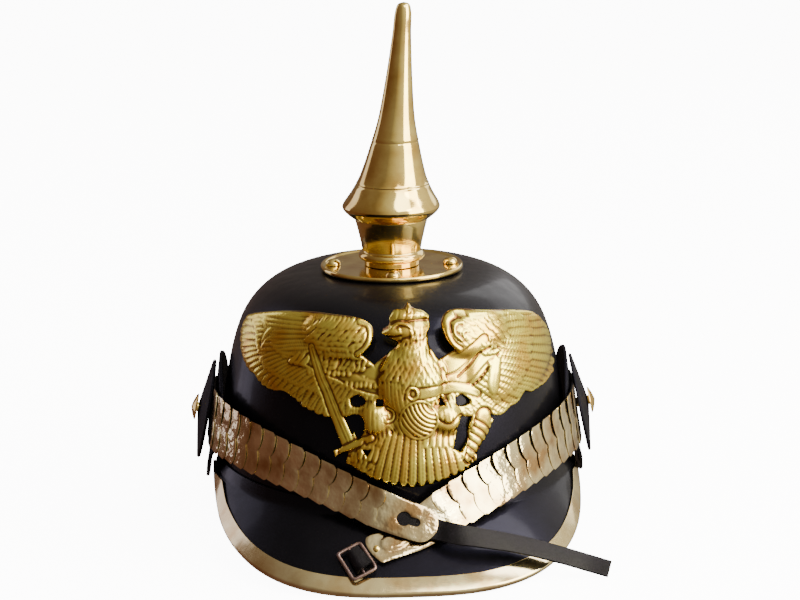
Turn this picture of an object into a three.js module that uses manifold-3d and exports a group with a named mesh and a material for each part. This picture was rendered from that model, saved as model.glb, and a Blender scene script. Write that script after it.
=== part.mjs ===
// A spiked parade helmet: a moulded black leather shell with front and rear peaks, a brass edge on the
// front peak, a tall turned brass spike on a riveted disc, a pierced brass eagle plate, side discs with
// pointed bosses, and a chin strap of brass scales whose two halves cross over the front peak.
// Millimetres, +Z up, the front faces -Y, and z = 0 is the surface that the two peaks rest on.

import * as THREE from "three";
import { mergeVertices } from "three/addons/utils/BufferGeometryUtils.js";
import Module from "manifold-3d";

const wasm = await Module();
wasm.setup();

// ---------- driving sizes ----------

const gap = 0.3; // free space between neighbouring pieces
const leather = 2.4;
const rimHeight = 32; // shell's lower edge above the resting surface
const frontReach = 144; // helmet's axis to the front of the brass peak edge
const rearReach = 135; // helmet's axis to the back of the rear peak
const axisShift = (frontReach - rearReach) / 2; // puts the origin midway between the two peaks

// Shell's outside, each row an oval; rise is measured from the rim.
const shellSections = [
  { rise: 0, halfWidth: 96.5, halfLength: 109 },
  { rise: 28, halfWidth: 94.8, halfLength: 107 },
  { rise: 56, halfWidth: 90.2, halfLength: 102.5 },
  { rise: 70, halfWidth: 86.8, halfLength: 99 },
  { rise: 82, halfWidth: 82.2, halfLength: 94.5 },
  { rise: 91, halfWidth: 76, halfLength: 88 },
  { rise: 98, halfWidth: 67.6, halfLength: 79.5 },
  { rise: 102.6, halfWidth: 57, halfLength: 68.5 },
  { rise: 105.6, halfWidth: 38.5, halfLength: 48 },
  { rise: 106.5, halfWidth: 0, halfLength: 0 },
];
const domeRise = shellSections.at(-1).rise;

// A peak's edge is a squarish oval in plan; edgeHeight is its upper corner's height at the lowest place.
// The front peak is sewn on slightly turned, and falls away faster near the sides.
const frontPeak = {
  halfWidth: 99.6,
  reach: 143.2,
  squareness: 2.75,
  turn: 1.9,
  endAngle: 86,
  edgeHeight: 2.74,
  crown: 0.6,
  fullDropAt: 143.2,
  fall: 0.8,
};
// The rear edge lies level across its middle, which steadies the helmet.
const rearPeak = {
  halfWidth: 99.6,
  reach: 135,
  squareness: 2.4,
  turn: 0,
  endAngle: 84,
  edgeHeight: 1.48,
  crown: 0.6,
  fullDropAt: 100,
  fall: 1,
};
const steepest = 1.4; // a peak's fall for each millimetre outwards, where it is narrow at the sides
const peakFlange = { height: 7, top: 0.9, bendRise: 0.6 }; // stitched round the outside of the shell
const peakTrim = { metal: 0.8, topLeg: 8.6, underLeg: 5 };

const disc = { radius: 39, thickness: 1.6, rim: 2.6 };
const stud = { circle: 32, radius: 4, height: 3.2, count: 4 };

// Turned outlines: radius at each height above the disc.
const neckOutline = [
  { radius: 0, height: 0.3 },
  { radius: 14.9, height: 0.3 },
  { radius: 14.9, height: 3.2 },
  { radius: 17.3, height: 3.8 },
  { radius: 18.4, height: 5.6 },
  { radius: 17.3, height: 7.4 },
  { radius: 16, height: 8.2 },
  { radius: 16.6, height: 12 },
  { radius: 18.4, height: 20 },
  { radius: 20, height: 26 },
  { radius: 0, height: 26 },
];
const spikeOutline = [
  { radius: 0, height: 26.3 },
  { radius: 20.8, height: 26.3 },
  { radius: 23.6, height: 28.4 },
  { radius: 26.2, height: 31 },
  { radius: 26.7, height: 32.8 },
  { radius: 26, height: 34.6 },
  { radius: 22, height: 41 },
  { radius: 18.7, height: 47.7 },
  { radius: 16.5, height: 54.3 },
  { radius: 13, height: 67.4 },
  { radius: 10, height: 80.6 },
  { radius: 7.5, height: 100 },
  { radius: 5.1, height: 126 },
  { radius: 4.3, height: 138.6 },
  { radius: 3, height: 142.2 },
  { radius: 0, height: 143.3 },
];
const spikeLean = { degrees: 4.2, from: 33 }; // the spike stands a little crooked above its collar

const sideRise = 28; // boss above the rim
const innerDisc = { radius: 35, thickness: 1.8, hole: 4.6, standOff: 97.9, tilt: 7.4, drop: 2.8 };
// The inner disc is bent round the shell, but stays flat low down where the peaks hold it off.
const discBend = { radius: 121, from: -24, to: -6 };
const outerDisc = {
  radius: 27.5,
  dish: 4.4,
  power: 1.05,
  thickness: 1.6,
  hole: 2.9,
  standOff: 102.8,
  tilt: 11.8,
  turn: 3, // its face looks a little to the front
};
const boss = { radius: 7.4, height: 3.2, post: 2.6, postLength: 13.2 };

// Chin scale halves. A row is a place on the middle of the strap's under face: angle round the shell from
// the front towards the half's own side, rise above the rim, distance off the shell, lean of the face
// back towards the sky, and width. Both run along the inner disc first and then draw in to the shell.
const underHalf = [
  { angle: 96, rise: 29, off: 6, lean: 8, width: 32 },
  { angle: 90, rise: 29.4, off: 5.6, lean: 8, width: 32 },
  { angle: 79, rise: 30.2, off: 6.1, lean: 8, width: 32 },
  { angle: 71.5, rise: 29, off: 6.3, lean: 8, width: 31 },
  { angle: 60, rise: 26.4, off: 4.9, lean: 10, width: 29 },
  { angle: 50, rise: 23.3, off: 3.8, lean: 12, width: 27.5 },
  { angle: 38, rise: 18.6, off: 3.5, lean: 16, width: 26 },
  { angle: 28, rise: 13.6, off: 4.6, lean: 21, width: 25 },
  { angle: 19, rise: 8, off: 6.2, lean: 27, width: 23.5 },
  { angle: 12, rise: 2.6, off: 8.6, lean: 33, width: 22 },
  { angle: 4.3, rise: -5.2, off: 11.7, lean: 41, width: 20 },
  { angle: -1.5, rise: -9.2, off: 14.9, lean: 46, width: 18.5 },
  { angle: -6.8, rise: -13, off: 19.2, lean: 48, width: 17 },
  { angle: -10.5, rise: -17.2, off: 24.6, lean: 48, width: 16 },
  { angle: -14, rise: -20.3, off: 28.6, lean: 48, width: 16 },
  { angle: -17, rise: -22.7, off: 31.3, lean: 48, width: 16 },
];
const overHalf = [
  { angle: 96, rise: 29, off: 5.9, lean: 8, width: 32 },
  { angle: 90, rise: 29.6, off: 5.7, lean: 8, width: 32 },
  { angle: 79, rise: 30.6, off: 6, lean: 8, width: 32 },
  { angle: 71.5, rise: 30.4, off: 6.1, lean: 8, width: 31 },
  { angle: 60, rise: 29, off: 4.6, lean: 9, width: 28.5 },
  { angle: 50, rise: 27.2, off: 3.4, lean: 9, width: 27 },
  { angle: 38, rise: 23.9, off: 2.4, lean: 10, width: 24.5 },
  { angle: 28, rise: 19.9, off: 2.6, lean: 11, width: 22.5 },
  { angle: 19, rise: 15, off: 3.8, lean: 13, width: 21 },
  { angle: 12, rise: 11, off: 6, lean: 17, width: 20 },
  { angle: 5, rise: 6.5, off: 9.2, lean: 21, width: 19.5 },
  { angle: -1, rise: 2.6, off: 12, lean: 26, width: 19 },
  { angle: -6, rise: -0.4, off: 14.5, lean: 30, width: 18.5 },
  { angle: -9.6, rise: -2.6, off: 16.7, lean: 32, width: 18 },
];
const backing = { thickness: 1.4, narrower: 3, hole: 4 };
const scale = { pitch: 9.6, length: 12.6, metal: 0.6, first: 36.5, lift: 6.6, follow: 0.75 };
const endPlate = { metal: 0.8, overLength: 33, underLength: 44, tongueRoom: 11, buckleRoom: 9 };
const keyhole = { radius: 3.7, slotWidth: 4.2, slotLength: 8.6, fromTip: 17.5 };
const emboss = { fromTip: 14, halfLength: 8, halfWidth: 4.4, rise: 0.7 };
const endStud = { radius: 1.7, fromTip: 3.4, height: 1.3 };
const buckle = { along: 15, across: 19.5, bar: 2, middleBar: 1.6, pastTip: 8.6 };
const buckleStrap = { width: 12.5, fold: 5 };

// Loose leather tongue, from under the left half's end plate over the peak's edge to the resting surface.
const tongue = { thickness: 1.4, startWidth: 11.6, endWidth: 9.4 };
const tongueRoute = [
  [28.9, -127.9, 28.2],
  [38.1, -127.5, 26.2],
  [60, -122, 20],
  [84, -117.5, 11.7],
  [97, -116, 7],
  [107.8, -117.6, 4],
];
const tongueFaces = [
  [0.2, -0.85, 0.42],
  [0.3, -0.72, 0.58],
  [0.2, -0.7, 0.7],
  [0.4, -0.66, 0.68],
  [0.3, -0.72, 0.66],
  [0.2, -0.74, 0.66],
];

const detail = { round: 40, turned: 28, small: 14 };

const colours = {
  leather: { color: 0x151416, roughness: 0.25, metalness: 0 },
  brass: { color: 0xd2a54a, roughness: 0.25, metalness: 1 },
  paleBrass: { color: 0xd8c48c, roughness: 0.2, metalness: 1 },
  steel: { color: 0x7d6c68, roughness: 0.45, metalness: 1 },
  strap: { color: 0x2e2a2e, roughness: 0.55, metalness: 0 },
};

// ---------- making and joining meshes ----------

const degrees = THREE.MathUtils.degToRad;

// One merged, closed surface with no collapsed triangles, facing out.
function closed(geometry) {
  const bare = geometry.clone();
  bare.deleteAttribute("normal");
  bare.deleteAttribute("uv");
  const merged = mergeVertices(bare, 1e-4);
  const index = merged.index.array;
  const kept = [];
  for (let i = 0; i < index.length; i += 3) {
    const [a, b, c] = [index[i], index[i + 1], index[i + 2]];
    if (a !== b && b !== c && c !== a) kept.push(a, b, c);
  }
  merged.setIndex(kept);
  if (volumeOf(merged) < 0) merged.setIndex(kept.reverse());
  return merged;
}

function volumeOf(geometry) {
  const place = geometry.attributes.position;
  const index = geometry.index.array;
  const corner = [new THREE.Vector3(), new THREE.Vector3(), new THREE.Vector3()];
  let sixfold = 0;
  for (let i = 0; i < index.length; i += 3) {
    corner.forEach((v, k) => v.fromBufferAttribute(place, index[i + k]));
    sixfold += corner[0].dot(corner[1].cross(corner[2]));
  }
  return sixfold / 6;
}

function toSolid(geometry) {
  const g = closed(geometry);
  return new wasm.Manifold(
    new wasm.Mesh({
      numProp: 3,
      vertProperties: new Float32Array(g.attributes.position.array),
      triVerts: new Uint32Array(g.index.array),
    }),
  );
}

function fromSolid(solid) {
  const mesh = solid.getMesh();
  const geometry = new THREE.BufferGeometry();
  geometry.setAttribute("position", new THREE.BufferAttribute(mesh.vertProperties, 3));
  geometry.setIndex(new THREE.BufferAttribute(mesh.triVerts, 1));
  return geometry;
}

const joined = (geometries) =>
  fromSolid(geometries.map(toSolid).reduce((whole, next) => whole.add(next)));

const cutFrom = (geometry, tools) =>
  fromSolid(tools.map(toSolid).reduce((whole, tool) => whole.subtract(tool), toSolid(geometry)));

// Surface through rings of equally many points, each closing on itself. The last ring meets the first
// when around is true; otherwise the first and the last ring are filled.
function loft(rings, { around = false } = {}) {
  const count = rings[0].length;
  const place = rings.flat().flatMap((p) => [p.x, p.y, p.z]);
  const index = [];
  const last = around ? rings.length : rings.length - 1;
  for (let r = 0; r < last; r++) {
    for (let i = 0; i < count; i++) {
      const next = (i + 1) % count;
      const here = r * count;
      const there = ((r + 1) % rings.length) * count;
      // Opposite faces are cut along like diagonals, so that strips laid on each other stay apart.
      if (i < count / 2) index.push(here + i, here + next, there + i, here + next, there + next, there + i);
      else index.push(here + i, here + next, there + next, here + i, there + next, there + i);
    }
  }
  if (!around) {
    const end = (rings.length - 1) * count;
    for (const [a, b, c] of filled(rings[0])) index.push(a, c, b);
    for (const [a, b, c] of filled(rings.at(-1))) index.push(end + a, end + b, end + c);
  }
  const geometry = new THREE.BufferGeometry();
  geometry.setAttribute("position", new THREE.Float32BufferAttribute(place, 3));
  geometry.setIndex(index);
  return geometry;
}

// Triangles that fill a nearly flat ring, wound the way that the ring runs.
function filled(ring) {
  const normal = new THREE.Vector3();
  ring.forEach((p, i) => normal.add(p.clone().cross(ring[(i + 1) % ring.length])));
  normal.normalize();
  const right = ring[1].clone().sub(ring[0]);
  right.addScaledVector(normal, -right.dot(normal)).normalize();
  const up = normal.clone().cross(right);
  const flat = ring.map((p) => new THREE.Vector2(p.dot(right), p.dot(up)));
  return THREE.ShapeUtils.triangulateShape(flat, []).map(([a, b, c]) => {
    const area = flat[b].clone().sub(flat[a]).cross(flat[c].clone().sub(flat[a]));
    return area > 0 ? [a, b, c] : [a, c, b];
  });
}

// Turned piece from rows of radius and height, standing on +Z.
function turned(rows, segments = detail.turned) {
  const points = rows.map((row) => new THREE.Vector2(row.radius, row.height));
  return new THREE.LatheGeometry(points, segments).rotateX(Math.PI / 2);
}

function extruded(shape, depth, curveSegments = 6) {
  return new THREE.ExtrudeGeometry(shape, { depth, bevelEnabled: false, curveSegments });
}

const group = new THREE.Group();
group.position.set(0, axisShift, 0);

function add(name, geometry, look, parent = group) {
  const mesh = new THREE.Mesh(closed(geometry), new THREE.MeshStandardMaterial(colours[look]));
  mesh.name = name;
  mesh.geometry.computeVertexNormals();
  parent.add(mesh);
  return mesh;
}

// ---------- shell ----------

const shellCurve = new THREE.CatmullRomCurve3(
  shellSections.map((s) => new THREE.Vector3(s.halfWidth, s.halfLength, s.rise)),
  false,
  "centripetal",
);

// Half width and half length at a rise above the rim, from rows of sections.
function sectionAt(rows, rise) {
  const above = rows.findIndex((row) => row.rise >= rise);
  const k = Math.max(1, above < 0 ? rows.length - 1 : above);
  const [low, high] = [rows[k - 1], rows[k]];
  const share = (rise - low.rise) / (high.rise - low.rise);
  return {
    halfWidth: THREE.MathUtils.lerp(low.halfWidth, high.halfWidth, share),
    halfLength: THREE.MathUtils.lerp(low.halfLength, high.halfLength, share),
  };
}

// Point round an oval; angle 0 is the front and +90 degrees is at +X.
function ovalPoint(halfWidth, halfLength, angle, z) {
  return new THREE.Vector3(halfWidth * Math.sin(angle), -halfLength * Math.cos(angle), z);
}

function makeShell() {
  const rings = [];
  const ring = (halfWidth, halfLength, z) =>
    Array.from({ length: detail.round }, (_, i) =>
      ovalPoint(halfWidth, halfLength, (i / detail.round) * 2 * Math.PI, z),
    );
  const inwards = (size) => Math.max(size - leather, 0);
  const steps = 11;
  const profile = Array.from({ length: steps + 1 }, (_, i) => shellCurve.getPoint(i / steps));
  profile[steps].set(0, 0, domeRise);
  for (const p of profile) rings.push(ring(p.x, p.y, rimHeight + p.z));
  const lower = (domeRise - leather) / domeRise;
  for (const p of profile.toReversed()) rings.push(ring(inwards(p.x), inwards(p.y), rimHeight + p.z * lower));
  return loft(rings, { around: true });
}

// ---------- peaks ----------

// Plan outline of a peak's edge: the rim's oval stretched outwards to a squarish oval.
function peakPlan(peak, angle) {
  const rim = shellSections[0];
  const x = rim.halfWidth * Math.sin(angle);
  const y = rim.halfLength * Math.cos(angle);
  const turn = degrees(peak.turn);
  const sideways = x * Math.cos(turn) - y * Math.sin(turn);
  const ahead = x * Math.sin(turn) + y * Math.cos(turn);
  const power = peak.squareness;
  const sum = Math.abs(sideways / peak.halfWidth) ** power + Math.abs(ahead / peak.reach) ** power;
  const stretch = sum ** (-1 / power);
  return { x: x * stretch, y: y * stretch, ahead: ahead * stretch };
}

// Upper face of a peak at an angle: its root, middle and edge, and the way off its lower half.
function peakLine(peak, angle, facing) {
  const rim = shellSections[0];
  const rootOff = gap + leather;
  const rootHeight = rimHeight + peakFlange.bendRise;
  const root = ovalPoint(rim.halfWidth + rootOff, rim.halfLength + rootOff, angle, rootHeight);
  const plan = peakPlan(peak, angle);
  const share = THREE.MathUtils.clamp(plan.ahead / peak.fullDropAt, 0, 1) ** peak.fall;
  const width = Math.hypot(plan.x - root.x, plan.y + root.y);
  const drop = Math.min((root.z - peak.edgeHeight) * share, width * steepest);
  const edge = new THREE.Vector3(plan.x, -plan.y, root.z - drop);
  const round = new THREE.Vector3(root.y, -root.x, 0).normalize();
  const slope = edge.clone().sub(root).normalize();
  const off = round.clone().cross(slope).normalize();
  const middle = root.clone().lerp(edge, 0.5).addScaledVector(off, peak.crown);
  for (const v of [root, middle, edge, off]) v.y *= facing;
  return { root, middle, edge, off };
}

function peakAngles(peak) {
  const end = degrees(peak.endAngle);
  const steps = 36;
  return Array.from({ length: steps + 1 }, (_, i) => THREE.MathUtils.lerp(-end, end, i / steps));
}

function makePeak(peak, facing) {
  const flangeTop = sectionAt(shellSections, peakFlange.height);
  const rim = shellSections[0];
  const at = (size, off, angle, z) => {
    const p = ovalPoint(size.halfWidth + off, size.halfLength + off, angle, z);
    p.y *= facing;
    return p;
  };
  const rings = peakAngles(peak).map((angle) => {
    const { root, middle, edge, off } = peakLine(peak, angle, facing);
    const under = (p) => p.clone().addScaledVector(off, -leather);
    return [
      at(flangeTop, gap, angle, rimHeight + peakFlange.height),
      at(flangeTop, gap + peakFlange.top, angle, rimHeight + peakFlange.height),
      root,
      middle,
      edge,
      under(edge),
      under(middle),
      at(rim, gap, angle, rimHeight - 1.6),
    ];
  });
  return loft(rings);
}

// Brass channel folded over the front peak's edge.
function makePeakTrim() {
  const { metal, topLeg, underLeg } = peakTrim;
  const rings = peakAngles(frontPeak).map((angle) => {
    const { root, middle, edge, off } = peakLine(frontPeak, angle, 1);
    const inwards = middle.clone().sub(edge).normalize();
    const room = Math.max(root.distanceTo(edge) - 1.5, 0.5);
    const top = Math.min(topLeg, room);
    const low = Math.min(underLeg, room / 2);
    const at = (along, up) => edge.clone().addScaledVector(inwards, along).addScaledVector(off, up);
    const under = -leather - gap;
    return [
      at(top, gap),
      at(top, gap + metal),
      at(-gap, gap + metal),
      at(-gap - metal, gap),
      at(-gap - metal, under),
      at(-gap, under - metal),
      at(low, under - metal),
      at(low, under),
      at(-gap, under),
      at(-gap, gap),
    ];
  });
  return loft(rings);
}

// ---------- disc, studs, neck and spike ----------

const discBase = rimHeight + domeRise + gap;
const discTop = discBase + disc.thickness;

function makeDisc() {
  return turned([
    { radius: 0, height: discBase },
    { radius: 30, height: discBase },
    { radius: disc.radius - 1.4, height: discBase - 0.6 },
    { radius: disc.radius, height: discBase + 0.2 },
    { radius: disc.radius, height: discBase + disc.rim - 0.8 },
    { radius: disc.radius - 0.8, height: discBase + disc.rim },
    { radius: disc.radius - 2.2, height: discBase + disc.rim - 0.4 },
    { radius: disc.radius - 3, height: discTop },
    { radius: 0, height: discTop },
  ], detail.round);
}

function makeStud(angle) {
  const rows = [{ radius: 0, height: 0 }];
  const steps = 4;
  for (let i = 0; i <= steps; i++) {
    const turn = (i / steps) * (Math.PI / 2);
    rows.push({ radius: stud.radius * Math.cos(turn), height: 0.5 + (stud.height - 0.5) * Math.sin(turn) });
  }
  rows.splice(1, 0, { radius: stud.radius, height: 0 });
  rows.at(-1).radius = 0;
  const geometry = turned(rows, detail.small);
  return geometry.translate(stud.circle * Math.sin(angle), -stud.circle * Math.cos(angle), discTop + gap);
}

function makeSpike() {
  const geometry = turned(spikeOutline.map((row) => ({ ...row, height: row.height + discTop })));
  const place = geometry.attributes.position;
  const start = discTop + spikeLean.from;
  for (let i = 0; i < place.count; i++) {
    const shift = Math.max(place.getZ(i) - start, 0) * Math.tan(degrees(spikeLean.degrees));
    place.setX(i, place.getX(i) + shift);
  }
  return geometry;
}

// ---------- side discs and bosses ----------

// Group whose +Z points out of one side of the helmet, tilted up with the shell's side.
function sideMount(side, standOff, tilt, turn = 0) {
  const mount = new THREE.Group();
  mount.position.set(side * standOff, 0, rimHeight + sideRise);
  mount.rotation.set(0, side * (Math.PI / 2 - degrees(tilt)), -side * degrees(turn), "ZYX");
  group.add(mount);
  return mount;
}

function makeInnerDisc(side) {
  const { radius, thickness, hole, drop } = innerDisc;
  const reach = [hole, 14, 24, radius - 0.6];
  const under = reach.map((r) => ({ radius: r, height: 0 }));
  const upper = reach.toReversed().map((r) => ({ radius: r, height: thickness }));
  const geometry = turned([...under, { radius, height: thickness / 2 }, ...upper, under[0]], detail.turned);
  const place = geometry.attributes.position;
  for (let i = 0; i < place.count; i++) {
    const [down, along, off] = [place.getX(i) * side, place.getY(i), place.getZ(i)];
    const share = (Math.hypot(down, along) - hole) / (radius - hole);
    const lower = down + drop * share;
    const bend = THREE.MathUtils.smoothstep(-lower, discBend.from, discBend.to);
    place.setXYZ(i, lower * side, along, off - (bend * along ** 2) / (2 * discBend.radius));
  }
  return geometry;
}

function makeOuterDisc() {
  const { radius, dish, thickness, hole, power } = outerDisc;
  const lift = (r) => dish * (1 - (r / radius) ** power);
  const reach = [hole, 9, 18, radius - 0.5];
  const under = reach.map((r) => ({ radius: r, height: lift(r) }));
  const upper = reach.toReversed().map((r) => ({ radius: r, height: lift(r) + thickness }));
  const edge = { radius, height: thickness / 2 };
  return turned([...under, edge, ...upper, under[0]], detail.turned);
}

function makeBoss() {
  const base = outerDisc.dish + outerDisc.thickness + gap;
  return turned([
    { radius: 0, height: base - boss.postLength },
    { radius: boss.post, height: base - boss.postLength },
    { radius: boss.post, height: base },
    { radius: boss.radius, height: base },
    { radius: boss.radius - 0.5, height: base + 0.9 },
    { radius: 3.2, height: base + 2.4 },
    { radius: 0, height: base + boss.height },
  ], detail.small);
}

// ---------- chin scales ----------

// Middle line of one half of the chin strap with its faces: side is -1 for the left half.
function strapLine(rows, side) {
  const centres = rows.map((row) => {
    const size = sectionAt(shellSections, Math.max(row.rise, 0));
    const turn = degrees(row.angle) * side;
    return ovalPoint(size.halfWidth + row.off, size.halfLength + row.off, turn, rimHeight + row.rise);
  });
  const curve = new THREE.CatmullRomCurve3(centres, false, "centripetal");
  curve.arcLengthDivisions = 400;
  const length = curve.getLength();
  const value = (t, key) => {
    const spot = THREE.MathUtils.clamp(t, 0, 1) * (rows.length - 1);
    const k = Math.min(Math.floor(spot), rows.length - 2);
    return THREE.MathUtils.lerp(rows[k][key], rows[k + 1][key], spot - k);
  };
  return {
    length,
    at(distance) {
      const t = curve.getUtoTmapping(0, distance);
      const centre = curve.getPoint(t);
      const forward = curve.getTangent(t);
      const turn = degrees(value(t, "angle")) * side;
      const size = shellSections[0];
      const out = new THREE.Vector3(Math.sin(turn) / size.halfWidth, -Math.cos(turn) / size.halfLength, 0);
      const lean = degrees(value(t, "lean"));
      const face = out.normalize().multiplyScalar(Math.cos(lean));
      face.z = Math.sin(lean);
      const across = face.clone().cross(forward).normalize();
      face.copy(forward).cross(across).normalize();
      return { centre, forward, across, face, width: value(t, "width") };
    },
  };
}

// Flat strip that follows a line: stations are rows of distance, half width and lift off the line.
function strip(line, stations, thickness) {
  return loft(stations.map(({ distance, half, lift }) => {
    const { centre, across, face } = line.at(distance);
    const corner = (sideways, up) =>
      centre.clone().addScaledVector(across, sideways).addScaledVector(face, up);
    return [
      corner(-half, lift),
      corner(half, lift),
      corner(half, lift + thickness),
      corner(-half, lift + thickness),
    ];
  }));
}

// Stations from one distance to another, a few millimetres apart, with a rounded far end where asked.
function stationsOf(line, from, to, { lift, narrower = 0, roundEnd = 0 }) {
  const step = 4;
  const places = [from, to];
  for (let d = Math.ceil(from / step + 0.1) * step; d < to - step * 0.1; d += step) places.push(d);
  const arc = [0.15, 0.45, 0.75];
  const curved = roundEnd ? arc.map((a) => to - roundEnd * (1 - Math.cos((a * Math.PI) / 2))) : [];
  return [...places.filter((d) => !roundEnd || d < to - roundEnd || d === to), ...curved]
    .sort((a, b) => a - b)
    .map((distance) => {
      const left = Math.max((roundEnd - (to - distance)) / (roundEnd || 1), 0);
      const rounded = Math.sqrt(Math.max(1 - left ** 2, 0.02));
      return { distance, half: (line.at(distance).width - narrower) * 0.5 * rounded, lift };
    });
}

// A piece modelled flat, with +X along the line and +Z off it, set down from one distance to another.
function laidOn(line, distance, reach, geometry, lift) {
  const start = line.at(distance);
  const rest = line.at(distance + reach / 4);
  const end = line.at(distance + reach);
  const forward = end.centre.clone().sub(start.centre).normalize();
  const across = rest.face.clone().cross(forward).normalize();
  const face = forward.clone().cross(across).normalize();
  const turn = new THREE.Matrix4().makeBasis(forward, across, face);
  turn.setPosition(start.centre.clone().addScaledVector(face, lift));
  return geometry.applyMatrix4(turn);
}

// One scale: straight at its hidden root, with two rounded lobes and a notch at its free edge.
function scaleShape(width) {
  const half = width / 2;
  const lobe = 3;
  const notch = 0.35;
  const shape = new THREE.Shape();
  shape.moveTo(0, -half + 0.6);
  shape.lineTo(scale.length - lobe, -half);
  shape.absellipse(scale.length - lobe, -half / 2, lobe, half / 2, -Math.PI / 2, Math.PI / 2 - notch, false);
  shape.absellipse(scale.length - lobe, half / 2, lobe, half / 2, notch - Math.PI / 2, Math.PI / 2, false);
  shape.lineTo(0, half - 0.6);
  shape.closePath();
  return shape;
}

// Leather backing and brass scales of one half, up to its end plate.
function addHalf(line, side, word, plateStart, backingEnd) {
  const stations = stationsOf(line, 0, backingEnd, { lift: 0, narrower: backing.narrower });
  const rootHole = new THREE.CylinderGeometry(backing.hole, backing.hole, 20, detail.small);
  rootHole.rotateZ(Math.PI / 2).translate(side * shellSections[0].halfWidth, 0, rimHeight + sideRise);
  add("strap_backing_" + word, cutFrom(strip(line, stations, backing.thickness), [rootHole]), "strap");

  const count = Math.round((plateStart - scale.first) / scale.pitch);
  const pitch = (plateStart - scale.first) / count;
  for (let i = 0; i < count; i++) {
    const distance = scale.first + i * pitch;
    const flat = extruded(scaleShape(line.at(distance).width), scale.metal, 3);
    const here = line.at(distance + pitch / 2);
    const next = line.at(distance + pitch * 1.5);
    const rising = Math.max(next.forward.dot(here.face), 0);
    const twist = Math.abs(next.across.dot(here.face));
    flat.rotateY(-degrees(scale.lift) - (rising + twist) * scale.follow);
    const number = String(i + 1).padStart(2, "0");
    const laid = laidOn(line, distance, scale.length, flat, backing.thickness + gap);
    add("scale_" + word + "_" + number, laid, "paleBrass");
  }
}

const plateLift = backing.thickness + gap;

// Left half's end plate, with a keyhole cut through it.
function addOverPlate(line) {
  const tip = line.length;
  const start = tip - endPlate.overLength;
  const stations = stationsOf(line, start, tip, { lift: plateLift, roundEnd: 8 });
  const at = tip - keyhole.fromTip;
  const round = new THREE.CylinderGeometry(keyhole.radius, keyhole.radius, 8, detail.small);
  round.rotateX(Math.PI / 2);
  const slot = new THREE.BoxGeometry(keyhole.slotLength, keyhole.slotWidth, 8);
  slot.translate(keyhole.slotLength / 2, 0, 0);
  const tools = [round, slot].map((tool) => laidOn(line, at, 6, tool, plateLift));
  add("end_plate_left", cutFrom(strip(line, stations, endPlate.metal), tools), "paleBrass");
  return start;
}

// Right half's end plate, with a raised oval, and the stud at its tip.
function addUnderPlate(line, tip) {
  const start = tip - endPlate.underLength;
  const stations = stationsOf(line, start, tip, { lift: plateLift, roundEnd: 3 });
  const oval = turned([
    { radius: 0, height: -0.4 },
    { radius: 1, height: -0.4 },
    { radius: 1, height: 0 },
    { radius: 0.84, height: emboss.rise },
    { radius: 0, height: emboss.rise },
  ], detail.turned).scale(emboss.halfLength, emboss.halfWidth, 1);
  const raised = laidOn(line, tip - emboss.fromTip, 2, oval, plateLift + endPlate.metal);
  add("end_plate_right", joined([strip(line, stations, endPlate.metal), raised]), "paleBrass");

  const round = turned([
    { radius: 0, height: 0 },
    { radius: endStud.radius, height: 0 },
    { radius: endStud.radius * 0.8, height: endStud.height * 0.7 },
    { radius: 0, height: endStud.height },
  ], 10);
  add("end_stud", laidOn(line, tip - endStud.fromTip, 2, round, plateLift + endPlate.metal + gap), "brass");
  return start;
}

// ---------- buckle and tongue ----------

function addBuckle(line, tip) {
  const { along, across, bar, middleBar, pastTip } = buckle;
  const depth = bar * 0.8;
  const outline = new THREE.Shape();
  outline.moveTo(-along / 2, -across / 2);
  outline.lineTo(along / 2, -across / 2);
  outline.lineTo(along / 2, across / 2);
  outline.lineTo(-along / 2, across / 2);
  const opening = new THREE.Path();
  const [halfAlong, halfAcross] = [along / 2 - bar, across / 2 - bar];
  opening.moveTo(-halfAlong, -halfAcross);
  opening.lineTo(-halfAlong, halfAcross);
  opening.lineTo(halfAlong, halfAcross);
  opening.lineTo(halfAlong, -halfAcross);
  outline.holes.push(opening);
  const middle = new THREE.BoxGeometry(middleBar, across - bar, depth * 0.8).translate(0, 0, depth / 2);
  const lift = backing.thickness + gap;
  const frame = joined([extruded(outline, depth), middle]);
  add("buckle_frame", laidOn(line, tip + pastTip, 3, frame, lift), "steel");

  const start = tip - endPlate.buckleRoom;
  const end = tip + pastTip + middleBar / 2 + gap + backing.thickness / 2;
  const half = buckleStrap.width / 2;
  const under = stationsOf(line, start, end, { lift: 0 }).map((row) => ({ ...row, half }));
  const top = lift + depth + gap;
  const fold = new THREE.Shape();
  const barEdge = middleBar / 2 + gap;
  fold.moveTo(-buckleStrap.fold - barEdge, top);
  fold.lineTo(barEdge, top);
  fold.lineTo(barEdge, 0);
  fold.lineTo(barEdge + backing.thickness, 0);
  fold.lineTo(barEdge + backing.thickness, top + backing.thickness);
  fold.lineTo(-buckleStrap.fold - barEdge, top + backing.thickness);
  fold.closePath();
  const loop = extruded(fold, buckleStrap.width).rotateX(Math.PI / 2).translate(0, buckleStrap.width / 2, 0);
  const laid = laidOn(line, tip + pastTip, 3, loop, 0);
  add("buckle_strap", joined([strip(line, under, backing.thickness), laid]), "strap");
}

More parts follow.
